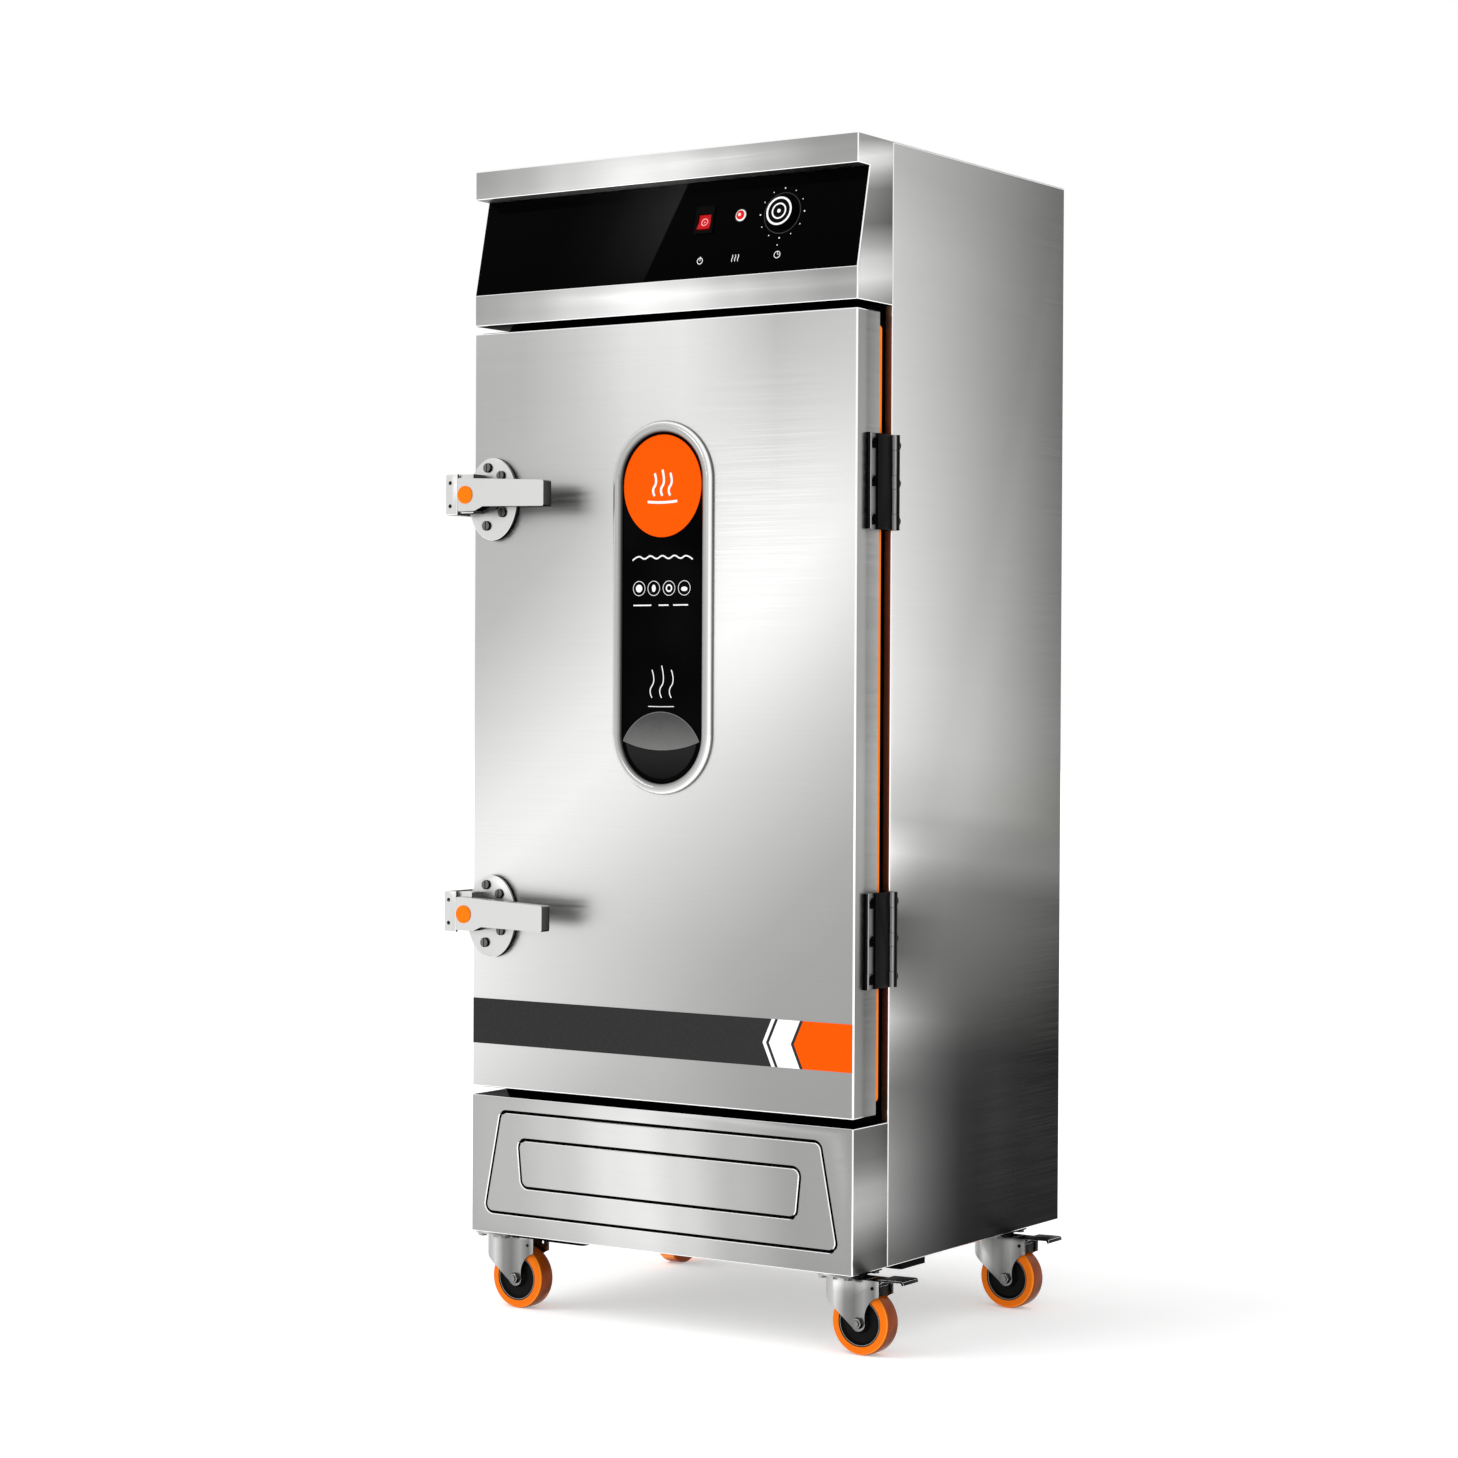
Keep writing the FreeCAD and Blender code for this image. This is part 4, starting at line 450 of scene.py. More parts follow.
# Pressed steel with bright zinc: bluish grey, with sharper painted darks and painted reflection bands.
zinc_steel = facing_metal("pressed steel, bright zinc plated", [
    (0.0, "#262626"), (0.22, "#4E4E4E"), (0.40, "#828281"), (0.55, "#B4B4B3"), (0.70, "#C6C6C5"),
    (0.85, "#E6E6E5"), (1.0, "#FAFAFA")], 0.24, wave=True)
# Screws, brass and heater tubes also get painted light and shade by facing.
screw_steel = facing_metal("turned stainless, screws", [
    (0.0, "#101010"), (0.35, "#262626"), (0.6, "#464645"), (0.75, "#6C6C6B"), (1.0, "#E8E8E8")], 0.3)
brass = facing_metal("machined brass", [
    (0.0, "#4A3616"), (0.4, "#A07C34"), (0.7, "#D2AE5C"), (1.0, "#F4DE9C")], 0.26)
heater_tube = facing_metal("drawn heater tube, heat-darkened", [
    (0.0, "#1C1A19"), (0.5, "#4E4845"), (1.0, "#8C857F")], 0.4)
print("made five metals")

# %% [markdown]
# The badge ring is a half-round chromed bar bent to a long loop. Its reflections are painted: across the bar
# it runs from a white line on the outer side through greys to a dark inner side, all the way round. So its
# tone follows how far the surface faces outwards, away from the loop's middle line.

# %% Chrome of the badge ring
def ring_chrome():
    material, tree, shader, place = new_material("polished chrome plating", metallic=1.0, roughness=0.14)
    low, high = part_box("badge_ring")
    half_width = (high.x - low.x) / 2
    apart = add(tree, "SeparateXYZ", {"Vector": place}).outputs
    level = add(tree, "Math", {0: apart["Z"], 1: low.z + half_width}, operation="MAXIMUM").outputs["Value"]
    level = add(tree, "Math", {0: level, 1: high.z - half_width}, operation="MINIMUM").outputs["Value"]
    middle_line = add(tree, "CombineXYZ", {
        "X": (low.x + high.x) / 2, "Y": face, "Z": level}).outputs["Vector"]
    away = add(tree, "VectorMath", {0: place, 1: middle_line}, operation="SUBTRACT").outputs["Vector"]
    away = add(tree, "VectorMath", {0: away, 1: (1.0, 0.0, 1.0)}, operation="MULTIPLY").outputs["Vector"]
    away = add(tree, "VectorMath", {0: away}, operation="NORMALIZE").outputs["Vector"]
    way = add(tree, "TexCoord").outputs["Normal"]
    turn = add(tree, "VectorMath", {0: away, 1: way}, operation="DOT_PRODUCT").outputs["Value"]
    turn = add(tree, "MapRange", {"Value": turn, "From Min": -1.0, "From Max": 1.0}).outputs["Result"]
    tone = add(tree, "ValToRGB", {"Fac": turn}, stops=[
        (0.0, "#161616"), (0.12, "#3C3C3C"), (0.24, "#8A8A89"), (0.40, "#A8A8A7"), (0.54, "#BABAB9"),
        (0.68, "#D0D0CF"), (0.78, "#FFFFFF"), (0.90, "#F4F4F3"), (1.0, "#6A6A69")])
    tree.links.new(tone.outputs["Color"], shader.inputs["Base Color"])
    return material


chrome = ring_chrome()
print("made", chrome.name)

# %% [markdown]
# Powder coat is sprayed dry and baked: an even black skin with a fine orange-peel relief about 0.5 mm
# across, and a soft sheen. Its corners get a painted highlight, a grey to white edge.

# %% Black coats, rubber and plastics
def grained(name, low, high, roughness, spacing, depth, **sockets):
    # A moulded or sprayed surface: two close shades over a grain of a real spacing in millimetres.
    material, tree, shader, place = new_material(name, roughness=roughness, **sockets)
    grain = add(tree, "TexNoise", {"Vector": place, "Scale": 1000.0 / spacing, "Detail": 3.0}).outputs["Fac"]
    tone = add(tree, "ValToRGB", {"Fac": grain}, stops=[(0.3, low), (0.7, high)])
    tree.links.new(tone.outputs["Color"], shader.inputs["Base Color"])
    relief = add(tree, "Bump", {"Height": grain, "Strength": 0.3, "Distance": depth}).outputs["Normal"]
    tree.links.new(relief, shader.inputs["Normal"])
    return material


def cast_tread():
    # Glassy, and painted bright on the wheel's face, with a painted highlight as a pale line on the shoulder.
    # The tread gets painted shade, a deep burnt orange, for the dark side of the room and the floor's shadow.
    material, tree, shader, place = new_material("cast orange polyurethane", roughness=0.25,
                                                 Specular_IOR_Level=0.12)
    way = add(tree, "TexCoord").outputs["Normal"]
    turn = add(tree, "VectorMath", {0: way, 1: (-0.35, -0.85, 0.35)},
               operation="DOT_PRODUCT").outputs["Value"]
    cloud = add(tree, "TexNoise", {"Vector": place, "Scale": 70.0, "Detail": 2.0}).outputs["Fac"]
    turn = add(tree, "Math", {0: cloud, 1: 0.10, 2: turn}, operation="MULTIPLY_ADD").outputs["Value"]
    turn = add(tree, "MapRange", {"Value": turn, "From Min": -0.65, "From Max": 1.05}).outputs["Result"]
    tone = add(tree, "ValToRGB", {"Fac": turn}, stops=[
        (0.0, "#F07604"), (0.07, "#D86A06"), (0.12, "#5A2400"), (0.20, "#8A3A00"), (0.34, "#823400"),
        (0.50, "#B85200"), (0.60, "#FF9C38"), (0.70, "#F67E10"), (0.88, "#EE7200"), (1.0, "#F07604")])
    tree.links.new(tone.outputs["Color"], shader.inputs["Base Color"])
    return material


black_coat = grained("black powder coat", "#040404", "#080808", 0.34, 1.4, 0.00006, Specular_IOR_Level=0.06)
rubber = grained("moulded rubber", "#040404", "#080808", 0.7, 2.0, 0.0001, Specular_IOR_Level=0.04)
black_plastic = grained("moulded black ABS", "#030303", "#060606", 0.42, 1.2, 0.00005,
                        Specular_IOR_Level=0.03)
black_nylon = grained("moulded black nylon", "#060606", "#0C0C0C", 0.4, 1.6, 0.00008, Specular_IOR_Level=0.08)
# Silicone profile: extruded, satin, slightly cloudy orange.
silicone = grained("extruded orange silicone", "#FC7A10", "#FF8418", 0.5, 3.0, 0.0001,
                   Specular_IOR_Level=0.06)
# Cast polyurethane tread: glassy skin, painted lighter and darker by the way it faces.
polyurethane = cast_tread()
orange_cap = grained("moulded orange ABS", "#FC7404", "#FF7C0A", 0.35, 4.0, 0.00002, Specular_IOR_Level=0.05)
white_plastic = grained("moulded white polypropylene", "#E6E6E2", "#F0F0EC", 0.4, 2.0, 0.00005)
red_vinyl = grained("dipped red vinyl", "#B41210", "#C81A16", 0.35, 3.0, 0.0001)
wool = grained("mineral wool", "#B9A870", "#D8C78E", 0.95, 2.5, 0.0012)
print("made coats, rubber and plastics")

# %% [markdown]
# The control panel is toughened glass printed black from behind. Glass mirrors about 4 % of the room. A
# soft lighter area is painted over its left part as a reflection and ends in a slanting line, as a large
# window of light does on glass.

# %% Glass and acrylic
def panel_glass():
    # Painted reflection: the tone follows the place on the sloping panel, height up the slope and distance
    # left of the line, and grows lighter up the slope.
    material, tree, shader, place = new_material("toughened glass, printed black", roughness=0.06,
                                                 Specular_IOR_Level=0.015)
    slope = (0.0, math.sin(lean), math.cos(lean))
    height = add(tree, "VectorMath", {0: place, 1: slope}, operation="DOT_PRODUCT").outputs["Value"]
    foot = math.sin(lean) * face + math.cos(lean) * panel_foot
    height = add(tree, "Math", {0: height, 1: foot}, operation="SUBTRACT").outputs["Value"]
    across = add(tree, "SeparateXYZ", {"Vector": place}).outputs["X"]
    # How far a point is left of the slanting line from (-27, 7) to (30, 149) mm on the panel.
    left = add(tree, "Math", {0: height, 1: 0.395, 2: -0.0293}, operation="MULTIPLY_ADD").outputs["Value"]
    left = add(tree, "Math", {0: left, 1: across}, operation="SUBTRACT").outputs["Value"]
    sheen = add(tree, "ValToRGB", {"Fac": add(tree, "MapRange", {
        "Value": left, "From Min": -0.001, "From Max": 0.20}).outputs["Result"]}, stops=[
        (0.0, "#020202"), (0.012, "#1F1F1F"), (0.25, "#161616"), (0.6, "#080808"), (1.0, "#020202")])
    rise = add(tree, "MapRange", {"Value": height, "From Min": 0.0, "From Max": 0.15, "To Min": 0.25,
                                  "To Max": 1.5}).outputs["Result"]
    tone = add(tree, "VectorMath", {0: sheen.outputs["Color"], "Scale": rise}, operation="SCALE")
    tree.links.new(tone.outputs["Vector"], shader.inputs["Base Color"])
    return material


def badge_acrylic():
    # Cast sheet with a deep, even black and a faint painted reflection of the room as a cloudiness.
    material, tree, shader, place = new_material("gloss black acrylic", roughness=0.08,
                                                 Specular_IOR_Level=0.015)
    cloud = add(tree, "TexNoise", {"Vector": place, "Scale": 9.0, "Detail": 1.0}).outputs["Fac"]
    tone = add(tree, "ValToRGB", {"Fac": cloud}, stops=[(0.3, "#010101"), (0.75, "#070707")])
    tree.links.new(tone.outputs["Color"], shader.inputs["Base Color"])
    return material


glass = panel_glass()
acrylic = badge_acrylic()
print("made", glass.name, "and", acrylic.name)

# %% [markdown]
# The rocker and the pilot lamp are red polycarbonate. Their marks are moulded in, so the material draws
# them: it turns the place on the part into a place on the sloping panel and measures the distance to a
# centre. The pilot lamp's pale centre is painted light, and both parts give off a faint painted light.

# %% Red rocker and pilot lamp
def on_panel(tree, place, x, height):
    # Place on the sloping panel, measured from a centre: x across, y up the slope.
    return add(tree, "Mapping", {"Vector": place, "Location": (x, face + height * math.sin(lean),
               panel_foot + height * math.cos(lean)), "Rotation": (math.pi / 2 - lean, 0.0, 0.0)},
               vector_type="TEXTURE").outputs["Vector"]


def red_with_marks_and_painted_light(name, x, height, stops, reach):
    # Rings of tone round a centre, out to a reach in metres.
    material, tree, shader, place = new_material(name, roughness=0.2, Specular_IOR_Level=0.1)
    flat = add(tree, "VectorMath", {0: on_panel(tree, place, x, height), 1: (1.0, 1.0, 0.0)},
               operation="MULTIPLY").outputs["Vector"]
    radius = add(tree, "VectorMath", {0: flat}, operation="LENGTH").outputs["Value"]
    tone = add(tree, "ValToRGB", {"Fac": add(tree, "MapRange", {
        "Value": radius, "From Min": 0.0, "From Max": reach}).outputs["Result"]}, stops=stops)
    tree.links.new(tone.outputs["Color"], shader.inputs["Base Color"])
    tree.links.new(tone.outputs["Color"], shader.inputs["Emission Color"])
    # Painted light: both parts give off a faint light of their own colour.
    shader.inputs["Emission Strength"].default_value = 0.08
    return material


rocker_red = red_with_marks_and_painted_light("red polycarbonate, rocker", 0.0705, 0.0865, [
    (0.0, "#F0B0B0"), (0.07, "#F0B0B0"), (0.10, "#C40A12"), (0.32, "#C40A12"), (0.35, "#F4B8B8"),
    (0.41, "#F4B8B8"), (0.44, "#C40A12"), (1.0, "#A8060C")], 0.014)
# The pilot lamp's pale centre is painted light.
lamp_red = red_with_marks_and_painted_light("red polycarbonate, pilot lamp", 0.1352, 0.092, [
    (0.0, "#FFF4F0"), (0.15, "#FFE2DC"), (0.27, "#E4121A"), (0.60, "#D60E16"), (0.66, "#F4F4F4"),
    (0.78, "#F4F4F4"), (0.84, "#0A0A0A"), (1.0, "#050505")], 0.0112)
print("made", rocker_red.name, "and", lamp_red.name)

# %% [markdown]
# ## Materials on the CAD nodes
# A CAD node whose shape is right stays as it is and only gets its material.

# %% Dress the CAD nodes
dress = {
    steel_plain: ["back_panel", "base_plate", "chamber_liner", "door_liner", "tray_rack", "heater_guard",
                  "drain_pipe", "steam_vent"],
    # The door frame, deep in the gap, is painted near black as shade.
    steel_painted_shade: ["door_frame"],
    wool: ["insulation", "door_foam"],
    black_plastic: ["switch_body", "timer_body", "contactor", "cable_gland"],
    rubber: ["latch_gaskets", "base_pads"],
    screw_steel: ["door_screws"],
    black_coat: ["frame_screws"],
    silicone: ["door_seal"],
    chrome: ["badge_ring"],
    brass: ["inlet_valve", "drain_valve"],
    heater_tube: ["heating_elements"],
    white_plastic: ["float_arm"],
    red_vinyl: ["drain_lever"],
    zinc_steel: ["caster_plates"],
    glass: ["control_glass"],
    acrylic: ["badge_panel"],
    rocker_red: ["power_rocker"],
    lamp_red: ["pilot_lamp"],
    orange_cap: ["lever_cap_upper", "lever_cap_lower"],
}
for material, names in dress.items():
    for name in names:
        nodes[name].data.materials.clear()
        nodes[name].data.materials.append(material)
print("dressed", sum(len(names) for names in dress.values()), "CAD nodes")

# %% [markdown]
# ## Folded sheets with real edges
# A CAD solid has knife-sharp edges, and a sharp edge never catches the light. The real folds have a radius of
# one to two millimetres. Modelling every sheet anew would risk leaving the CAD shape, so the sheets start
# from a copy of their node: the loose triangles are merged, flat areas dissolved to single faces, and the
# long edges are bevelled by given rules. The bevel's own material slot gives the painted highlight line.

# %% Copy a node with softened edges
def make_slots(piece):
    # The bevel can only use its own material slot when the piece already has two.
    piece.data.materials.append(steel_plain)
    piece.data.materials.append(steel_edge_highlight)


def softened(node, width, longest_kept=0.02, where=None):
    # Edges up to the longest that is kept stay sharp, and so do those that a rule leaves out.
    piece = bpy.data.objects.new(node + "_sheet", nodes[node].data.copy())
    bpy.context.scene.collection.objects.link(piece)
    piece.data.materials.clear()
    make_slots(piece)
    open_piece(piece, "EDGE")
    if piece.data.has_custom_normals:
        bpy.ops.mesh.customdata_custom_splitnormals_clear()
    bpy.ops.mesh.select_all(action="SELECT")
    bpy.ops.mesh.remove_doubles(threshold=0.00001)
    bpy.ops.mesh.dissolve_limited(angle_limit=math.radians(1.0), use_dissolve_boundaries=False)
    bpy.ops.mesh.select_all(action="DESELECT")
    pick("edges", lambda e: len(e.link_faces) == 2 and e.calc_length() > longest_kept
         and e.calc_face_angle(0.0) > math.radians(30) and (where is None or where(e)))
    bpy.ops.mesh.bevel(offset=width, segments=2, material=1, clamp_overlap=True)
    return close_piece()


def middle(edge):
    return (edge.verts[0].co + edge.verts[1].co) / 2


def give_faces(piece, slot, test):
    # Gives the faces that pass a test another material slot, apart from those of the bright edge.
    for polygon in piece.data.polygons:
        if polygon.material_index != 1 and test(polygon):
            polygon.material_index = slot


outer = 0.3495                          # everything beyond this is an outside face of the cabinet
fold = 0.0022                           # radius of the folds
side_right = finish(softened("side_panel_right", fold, where=lambda e: middle(e).x > outer), "cabinet",
                    "stainless", steel_side, steel_edge_highlight, steel_seal_reflection, stands_for=("side_panel_right",))
# The fold's front face behind the door gets the painted reflection of the seal.
give_faces(side_right, 2, lambda p: p.normal.y < -0.9 and p.center.y < -0.2)
side_left = finish(softened("side_panel_left", fold, where=lambda e: middle(e).x < -outer), "cabinet",
                   "stainless", steel_side, steel_edge_highlight, stands_for=("side_panel_left",))
top = finish(softened("top_panel", 0.0006), "cabinet", "stainless", steel_top, steel_edge_highlight,
             stands_for=("top_panel",))
print("side and top sheets:", [len(piece.data.polygons) for piece in (side_right, side_left, top)], "faces")

# %% [markdown]
# The head is one folded box with a sloping recess. Its front faces and its cheeks show different tones, so
# they take different slots of the same piece.

# %% Head
at_face = face + 0.0005                 # everything before this lies in the front faces
head_underside = 1.54                   # faces below this that look down belong to the gap above the door
head = softened("head_shell", fold, where=lambda e: abs(middle(e).x) > outer or middle(e).y < at_face)
head = finish(head, "cabinet", "stainless", steel_head, steel_edge_highlight, steel_head_cheek, steel_painted_shade,
              stands_for=("head_shell",))
give_faces(head, 2, lambda p: abs(p.normal.x) > 0.7)
# The head's underside over the door gets painted shade.
give_faces(head, 3, lambda p: p.normal.z < -0.9 and p.center.z < head_underside)
print("head:", len(head.data.polygons), "faces")

# %% [markdown]
# The plinth carries two pressed lines. A press rounds both lips of such a line; the lip that turns to the
# light gets the painted highlight and the other one painted shade, so the two get their own slots.

# %% Plinth
plinth_foot, plinth_head = 0.121, 0.333     # beyond these levels lie the plinth's own folds


def in_pressed_area(place):
    # The part of the plinth's front that carries the pressed lines.
    return abs(place.x) < 0.33 and 0.13 < place.z < 0.325


plinth = softened("plinth_shell", fold, longest_kept=0.05,
                  where=lambda e: abs(middle(e).x) > outer or (
                      middle(e).y < at_face and not plinth_foot <= middle(e).z <= plinth_head))
plinth = finish(plinth, "cabinet", "stainless", steel_plinth, steel_edge_highlight, steel_plinth_cheek, steel_line_shade,
                steel_painted_shade, stands_for=("plinth_shell",))
give_faces(plinth, 2, lambda p: abs(p.normal.x) > 0.7 and abs(p.center.x) > outer)
# The bottoms of the pressed lines get painted shade.
give_faces(plinth, 3, lambda p: face + 0.0002 < p.center.y < face + 0.0012 and in_pressed_area(p.center))
# The plinth's top under the door gets painted shade.
give_faces(plinth, 4, lambda p: p.normal.z > 0.9 and p.center.z > 0.33)


def lips(piece, width, slot, test):
    # Flattens the lip of a pressed line where the line's wall turns the given way.
    open_piece(piece, "EDGE")
    bpy.ops.mesh.select_all(action="DESELECT")
    pick("edges", lambda e: len(e.link_faces) == 2 and max(v.co.y for v in e.verts) < face + 0.00005
         and in_pressed_area(middle(e))
         and any(abs(f.normal.y) < 0.5 and test(f.normal) for f in e.link_faces))
    bpy.ops.mesh.bevel(offset=width, segments=1, material=slot, clamp_overlap=False)
    return close_piece()


lips(plinth, 0.0014, 1, lambda normal: normal.x + normal.z > 0.05)
lips(plinth, 0.0012, 3, lambda normal: normal.x + normal.z < -0.05)
print("plinth:", len(plinth.data.polygons), "faces")

# %% [markdown]
# ## Door
# The door's outer sheet is a shallow pan: front, four folded sides, open at the back. It is modelled as by
# hand from a cube: the back is deleted, the front edges and the corners get the fold's radius, and Solidify
# gives it the sheet's thickness.

# %% Door pan
sheet_thickness = 0.0014


def door_pan():
    deselect()
    size = door_high - door_low
    bpy.ops.mesh.primitive_cube_add(size=1, location=(door_low + door_high) / 2)
    piece = bpy.context.object
    piece.name = "door_pan"
    piece.scale = size
    bpy.ops.object.transform_apply(location=True, rotation=True, scale=True)
    make_slots(piece)
    open_piece(piece)
    pick("faces", lambda f: f.normal.y > 0.9)
    bpy.ops.mesh.delete(type="FACE")
    bpy.ops.mesh.select_mode(type="EDGE")
    pick("edges", lambda e: middle(e).y < face + 0.001 or abs(e.verts[0].co.y - e.verts[1].co.y) > 0.01)
    bpy.ops.mesh.bevel(offset=fold, segments=3, material=1)
    close_piece()
    wall = piece.modifiers.new("wall", "SOLIDIFY")
    wall.thickness = sheet_thickness
    wall.offset = -1
    bpy.ops.object.modifier_apply(modifier=wall.name)
    return piece


door = finish(door_pan(), "door", "stainless", steel_door, steel_edge_highlight, steel_door_cheek, steel_painted_shade,
              stands_for=("door_skin",))
give_faces(door, 2, lambda p: abs(p.normal.x) > 0.7)
# The door's top and bottom faces get painted shade.
give_faces(door, 3, lambda p: abs(p.normal.z) > 0.7)
print("door pan:", len(door.data.polygons), "faces")

# %% [markdown]
# The band across the door is printed vinyl film, 0.2 mm thick: a dark field, white and dark arrows and an
# orange field. Each film is a flat rectangle whose two ends get one more point, pulled in to make the arrow.

# %% Vinyl band
band_level = 0.4503
band_height = 0.0704
vinyl_thickness = 0.0002


def vinyl(name, x_left, x_right, notch_left, notch_right):
    # A film between two ends. A notch pulls the middle of an end sideways.
    deselect()
    bpy.ops.mesh.primitive_plane_add(size=1, rotation=(math.pi / 2, 0.0, 0.0),
                                     location=((x_left + x_right) / 2, face - vinyl_thickness, band_level))
    piece = bpy.context.object
    piece.name = name
    piece.scale = (x_right - x_left, band_height, 1)
    bpy.ops.object.transform_apply(location=True, rotation=True, scale=True)
    for x, pull in ((x_left, notch_left), (x_right, notch_right)):
        if pull:
            open_piece(piece, "EDGE")
            pick("edges", lambda e: abs(middle(e).x - x) < 0.0001)
            bpy.ops.mesh.subdivide(number_cuts=1)
            bpy.ops.mesh.select_mode(type="VERT")
            bpy.ops.mesh.select_all(action="DESELECT")
            pick("verts", lambda v: abs(v.co.x - x) < 0.0001 and abs(v.co.z - band_level) < 0.0001)
            bpy.ops.transform.translate(value=(pull, 0.0, 0.0))
            close_piece(0)
    open_piece(piece)
    bpy.ops.mesh.select_all(action="SELECT")
    bpy.ops.mesh.extrude_region_move(TRANSFORM_OT_translate={"value": (0.0, vinyl_thickness, 0.0)})
    bpy.ops.mesh.select_all(action="SELECT")
    bpy.ops.mesh.normals_make_consistent(inside=False)
    return close_piece()


def film(name, low, high):
    # Printed film or ink: satin, with a print grain of about 3 mm between two close shades.
    material, tree, shader, place = new_material(name, roughness=0.42, Specular_IOR_Level=0.03)
    print_grain = add(tree, "TexNoise", {"Vector": place, "Scale": 350.0, "Detail": 2.0}).outputs["Fac"]
    tone = add(tree, "ValToRGB", {"Fac": print_grain}, stops=[(0.3, low), (0.7, high)])
    tree.links.new(tone.outputs["Color"], shader.inputs["Base Color"])
    return material


film_dark = film("vinyl film, printed dark grey", "#2E2E2E", "#333333")
film_white = film("vinyl film, printed white", "#F2F2F2", "#FAFAFA")
film_orange = film("vinyl film, printed orange", "#F25400", "#F65800")
point = -0.0158                         # how far the arrows' points reach to the left
band = [
    finish(vinyl("band_dark", -0.3480, 0.2086, 0, point), "door", "black_gloss", film_dark),
    finish(vinyl("arrow_white_thin", 0.2086, 0.2147, point, point), "door", "white_plastic", film_white),
    finish(vinyl("arrow_dark", 0.2147, 0.2198, point, point), "door", "black_gloss", film_dark),
    finish(vinyl("arrow_white_wide", 0.2198, 0.2580, point, point), "door", "white_plastic", film_white),
    finish(vinyl("arrow_dark_edge", 0.2580, 0.2632, point, point), "door", "black_gloss", film_dark),
    finish(vinyl("band_orange", 0.2632, 0.3480, point, 0), "door", "orange_plastic", film_orange),
]
print("vinyl band:", len(band), "films")

# %% [markdown]
# ## Printed marks
# The badge and the control panel carry small printed marks. Each is a thin solid 0.15 mm thick, so that it
# still shows from the side: a disc, a ring (a disc inset and opened) or a stroke (a curve with a round
# section). They are drawn flat, joined, and then laid on their carrier.

# %% Marks drawn flat
film_thickness = 0.00015


def flat_disc(x, y, radius, ring=0.0, stretch=1.0, corners=48):
    # A disc, or a ring of the given width, drawn in the XY plane and pulled up to the film's thickness.
    deselect()
    bpy.ops.mesh.primitive_circle_add(vertices=corners, radius=radius, fill_type="NGON", location=(x, y, 0.0))
    piece = bpy.context.object
    piece.scale = (1.0, stretch, 1.0)
    bpy.ops.object.transform_apply(location=True, rotation=True, scale=True)
    open_piece(piece)
    bpy.ops.mesh.select_all(action="SELECT")
    if ring:
        bpy.ops.mesh.inset(thickness=ring)
        bpy.ops.mesh.delete(type="FACE")
        bpy.ops.mesh.select_all(action="SELECT")
    bpy.ops.mesh.extrude_region_move(TRANSFORM_OT_translate={"value": (0.0, 0.0, film_thickness)})
    bpy.ops.mesh.select_all(action="SELECT")
    bpy.ops.mesh.normals_make_consistent(inside=False)
    return close_piece()


def stroke(points, width):
    # A smooth line through guiding points: a round wire pressed flat.
    deselect()
    line = bpy.data.curves.new("stroke", "CURVE")
    line.dimensions = "3D"
    spline = line.splines.new("NURBS")
    spline.points.add(len(points) - 1)
    for point, (x, y) in zip(spline.points, points):
        point.co = (x, y, film_thickness / 2, 1.0)
    spline.order_u = 3
    spline.use_endpoint_u = True
    line.bevel_depth = width / 2
    line.bevel_resolution = 1
    line.resolution_u = 6
    line.use_fill_caps = True
    piece = bpy.data.objects.new("stroke", line)
    bpy.context.scene.collection.objects.link(piece)
    piece.select_set(True)
    bpy.context.view_layer.objects.active = piece
    bpy.ops.object.convert(target="MESH")
    piece.scale = (1.0, 1.0, 2 * film_thickness / width)
    bpy.ops.object.transform_apply(location=True, rotation=True, scale=True)
    return piece


def lay(name, marks, origin, tilt, body, slot, material):
    # Joins flat marks into one piece and lays it on its carrier.
    deselect()
    for mark in marks:
        mark.select_set(True)
    bpy.context.view_layer.objects.active = marks[0]
    if len(marks) > 1:
        bpy.ops.object.join()
    piece = marks[0]
    piece.name = name
    piece.location = origin
    piece.rotation_euler = (tilt, 0.0, 0.0)
    bpy.ops.object.transform_apply(location=True, rotation=True, scale=True)
    return finish(piece, body, slot, material)


def steam(x, y, height, width):
    # Three rising curls of steam, the middle one a little higher.
    curls = []
    for i in (-1, 0, 1):
        foot = x + i * height * 0.42
        sway = height * 0.16
        top_of_curl = y + height * (1.0 if i else 1.15)
        curls.append(stroke([(foot, y), (foot - sway, y + height * 0.25), (foot + sway, y + height * 0.6),
                             (foot, top_of_curl)], width))
    return curls


print("marks are", film_thickness * 1000, "mm thick")

# %% [markdown]
# The badge carries an orange disc with a plain steam sign, a wave, four small ring signs over three bars, and
# more steam. They are generic signs for a steamer. A badge like this is screen-printed, one colour at a time.

# %% Badge prints
badge_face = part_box("badge_panel")[0].y
badge_x = 0.0105                        # the badge's middle line
upright = math.pi / 2


def badge_layer(number):
    # Origin of a print: on the panel, or on as many prints below it.
    return (0.0, badge_face - number * film_thickness, 0.0)


lay("badge_disc", [flat_disc(badge_x, 1.2738, 0.0708, stretch=1.085, corners=96)], badge_layer(0), upright,
    "door", "orange_plastic", film_orange)
white_marks = steam(badge_x, 1.2590, 0.034, 0.0042)
white_marks.append(stroke([(-0.0165, 1.2505), (badge_x, 1.2475), (0.0375, 1.2505)], 0.0042))
lay("badge_steam_sign", white_marks, badge_layer(1), upright, "door", "white_plastic", film_white)
ring_x = (-0.0316, -0.0046, 0.0232, 0.0510)
ring_level = 1.1204
signs = [flat_disc(x, ring_level, 0.0112, ring=0.0008) for x in ring_x]
signs.append(flat_disc(ring_x[0], ring_level, 0.0058))
signs.append(flat_disc(ring_x[1], ring_level, 0.0034, stretch=1.6))
signs.append(flat_disc(ring_x[2], ring_level, 0.0058, ring=0.0022))
signs.append(flat_disc(ring_x[3], ring_level - 0.0014, 0.0056, stretch=0.6))
signs += steam(badge_x, 0.9560, 0.042, 0.0018)
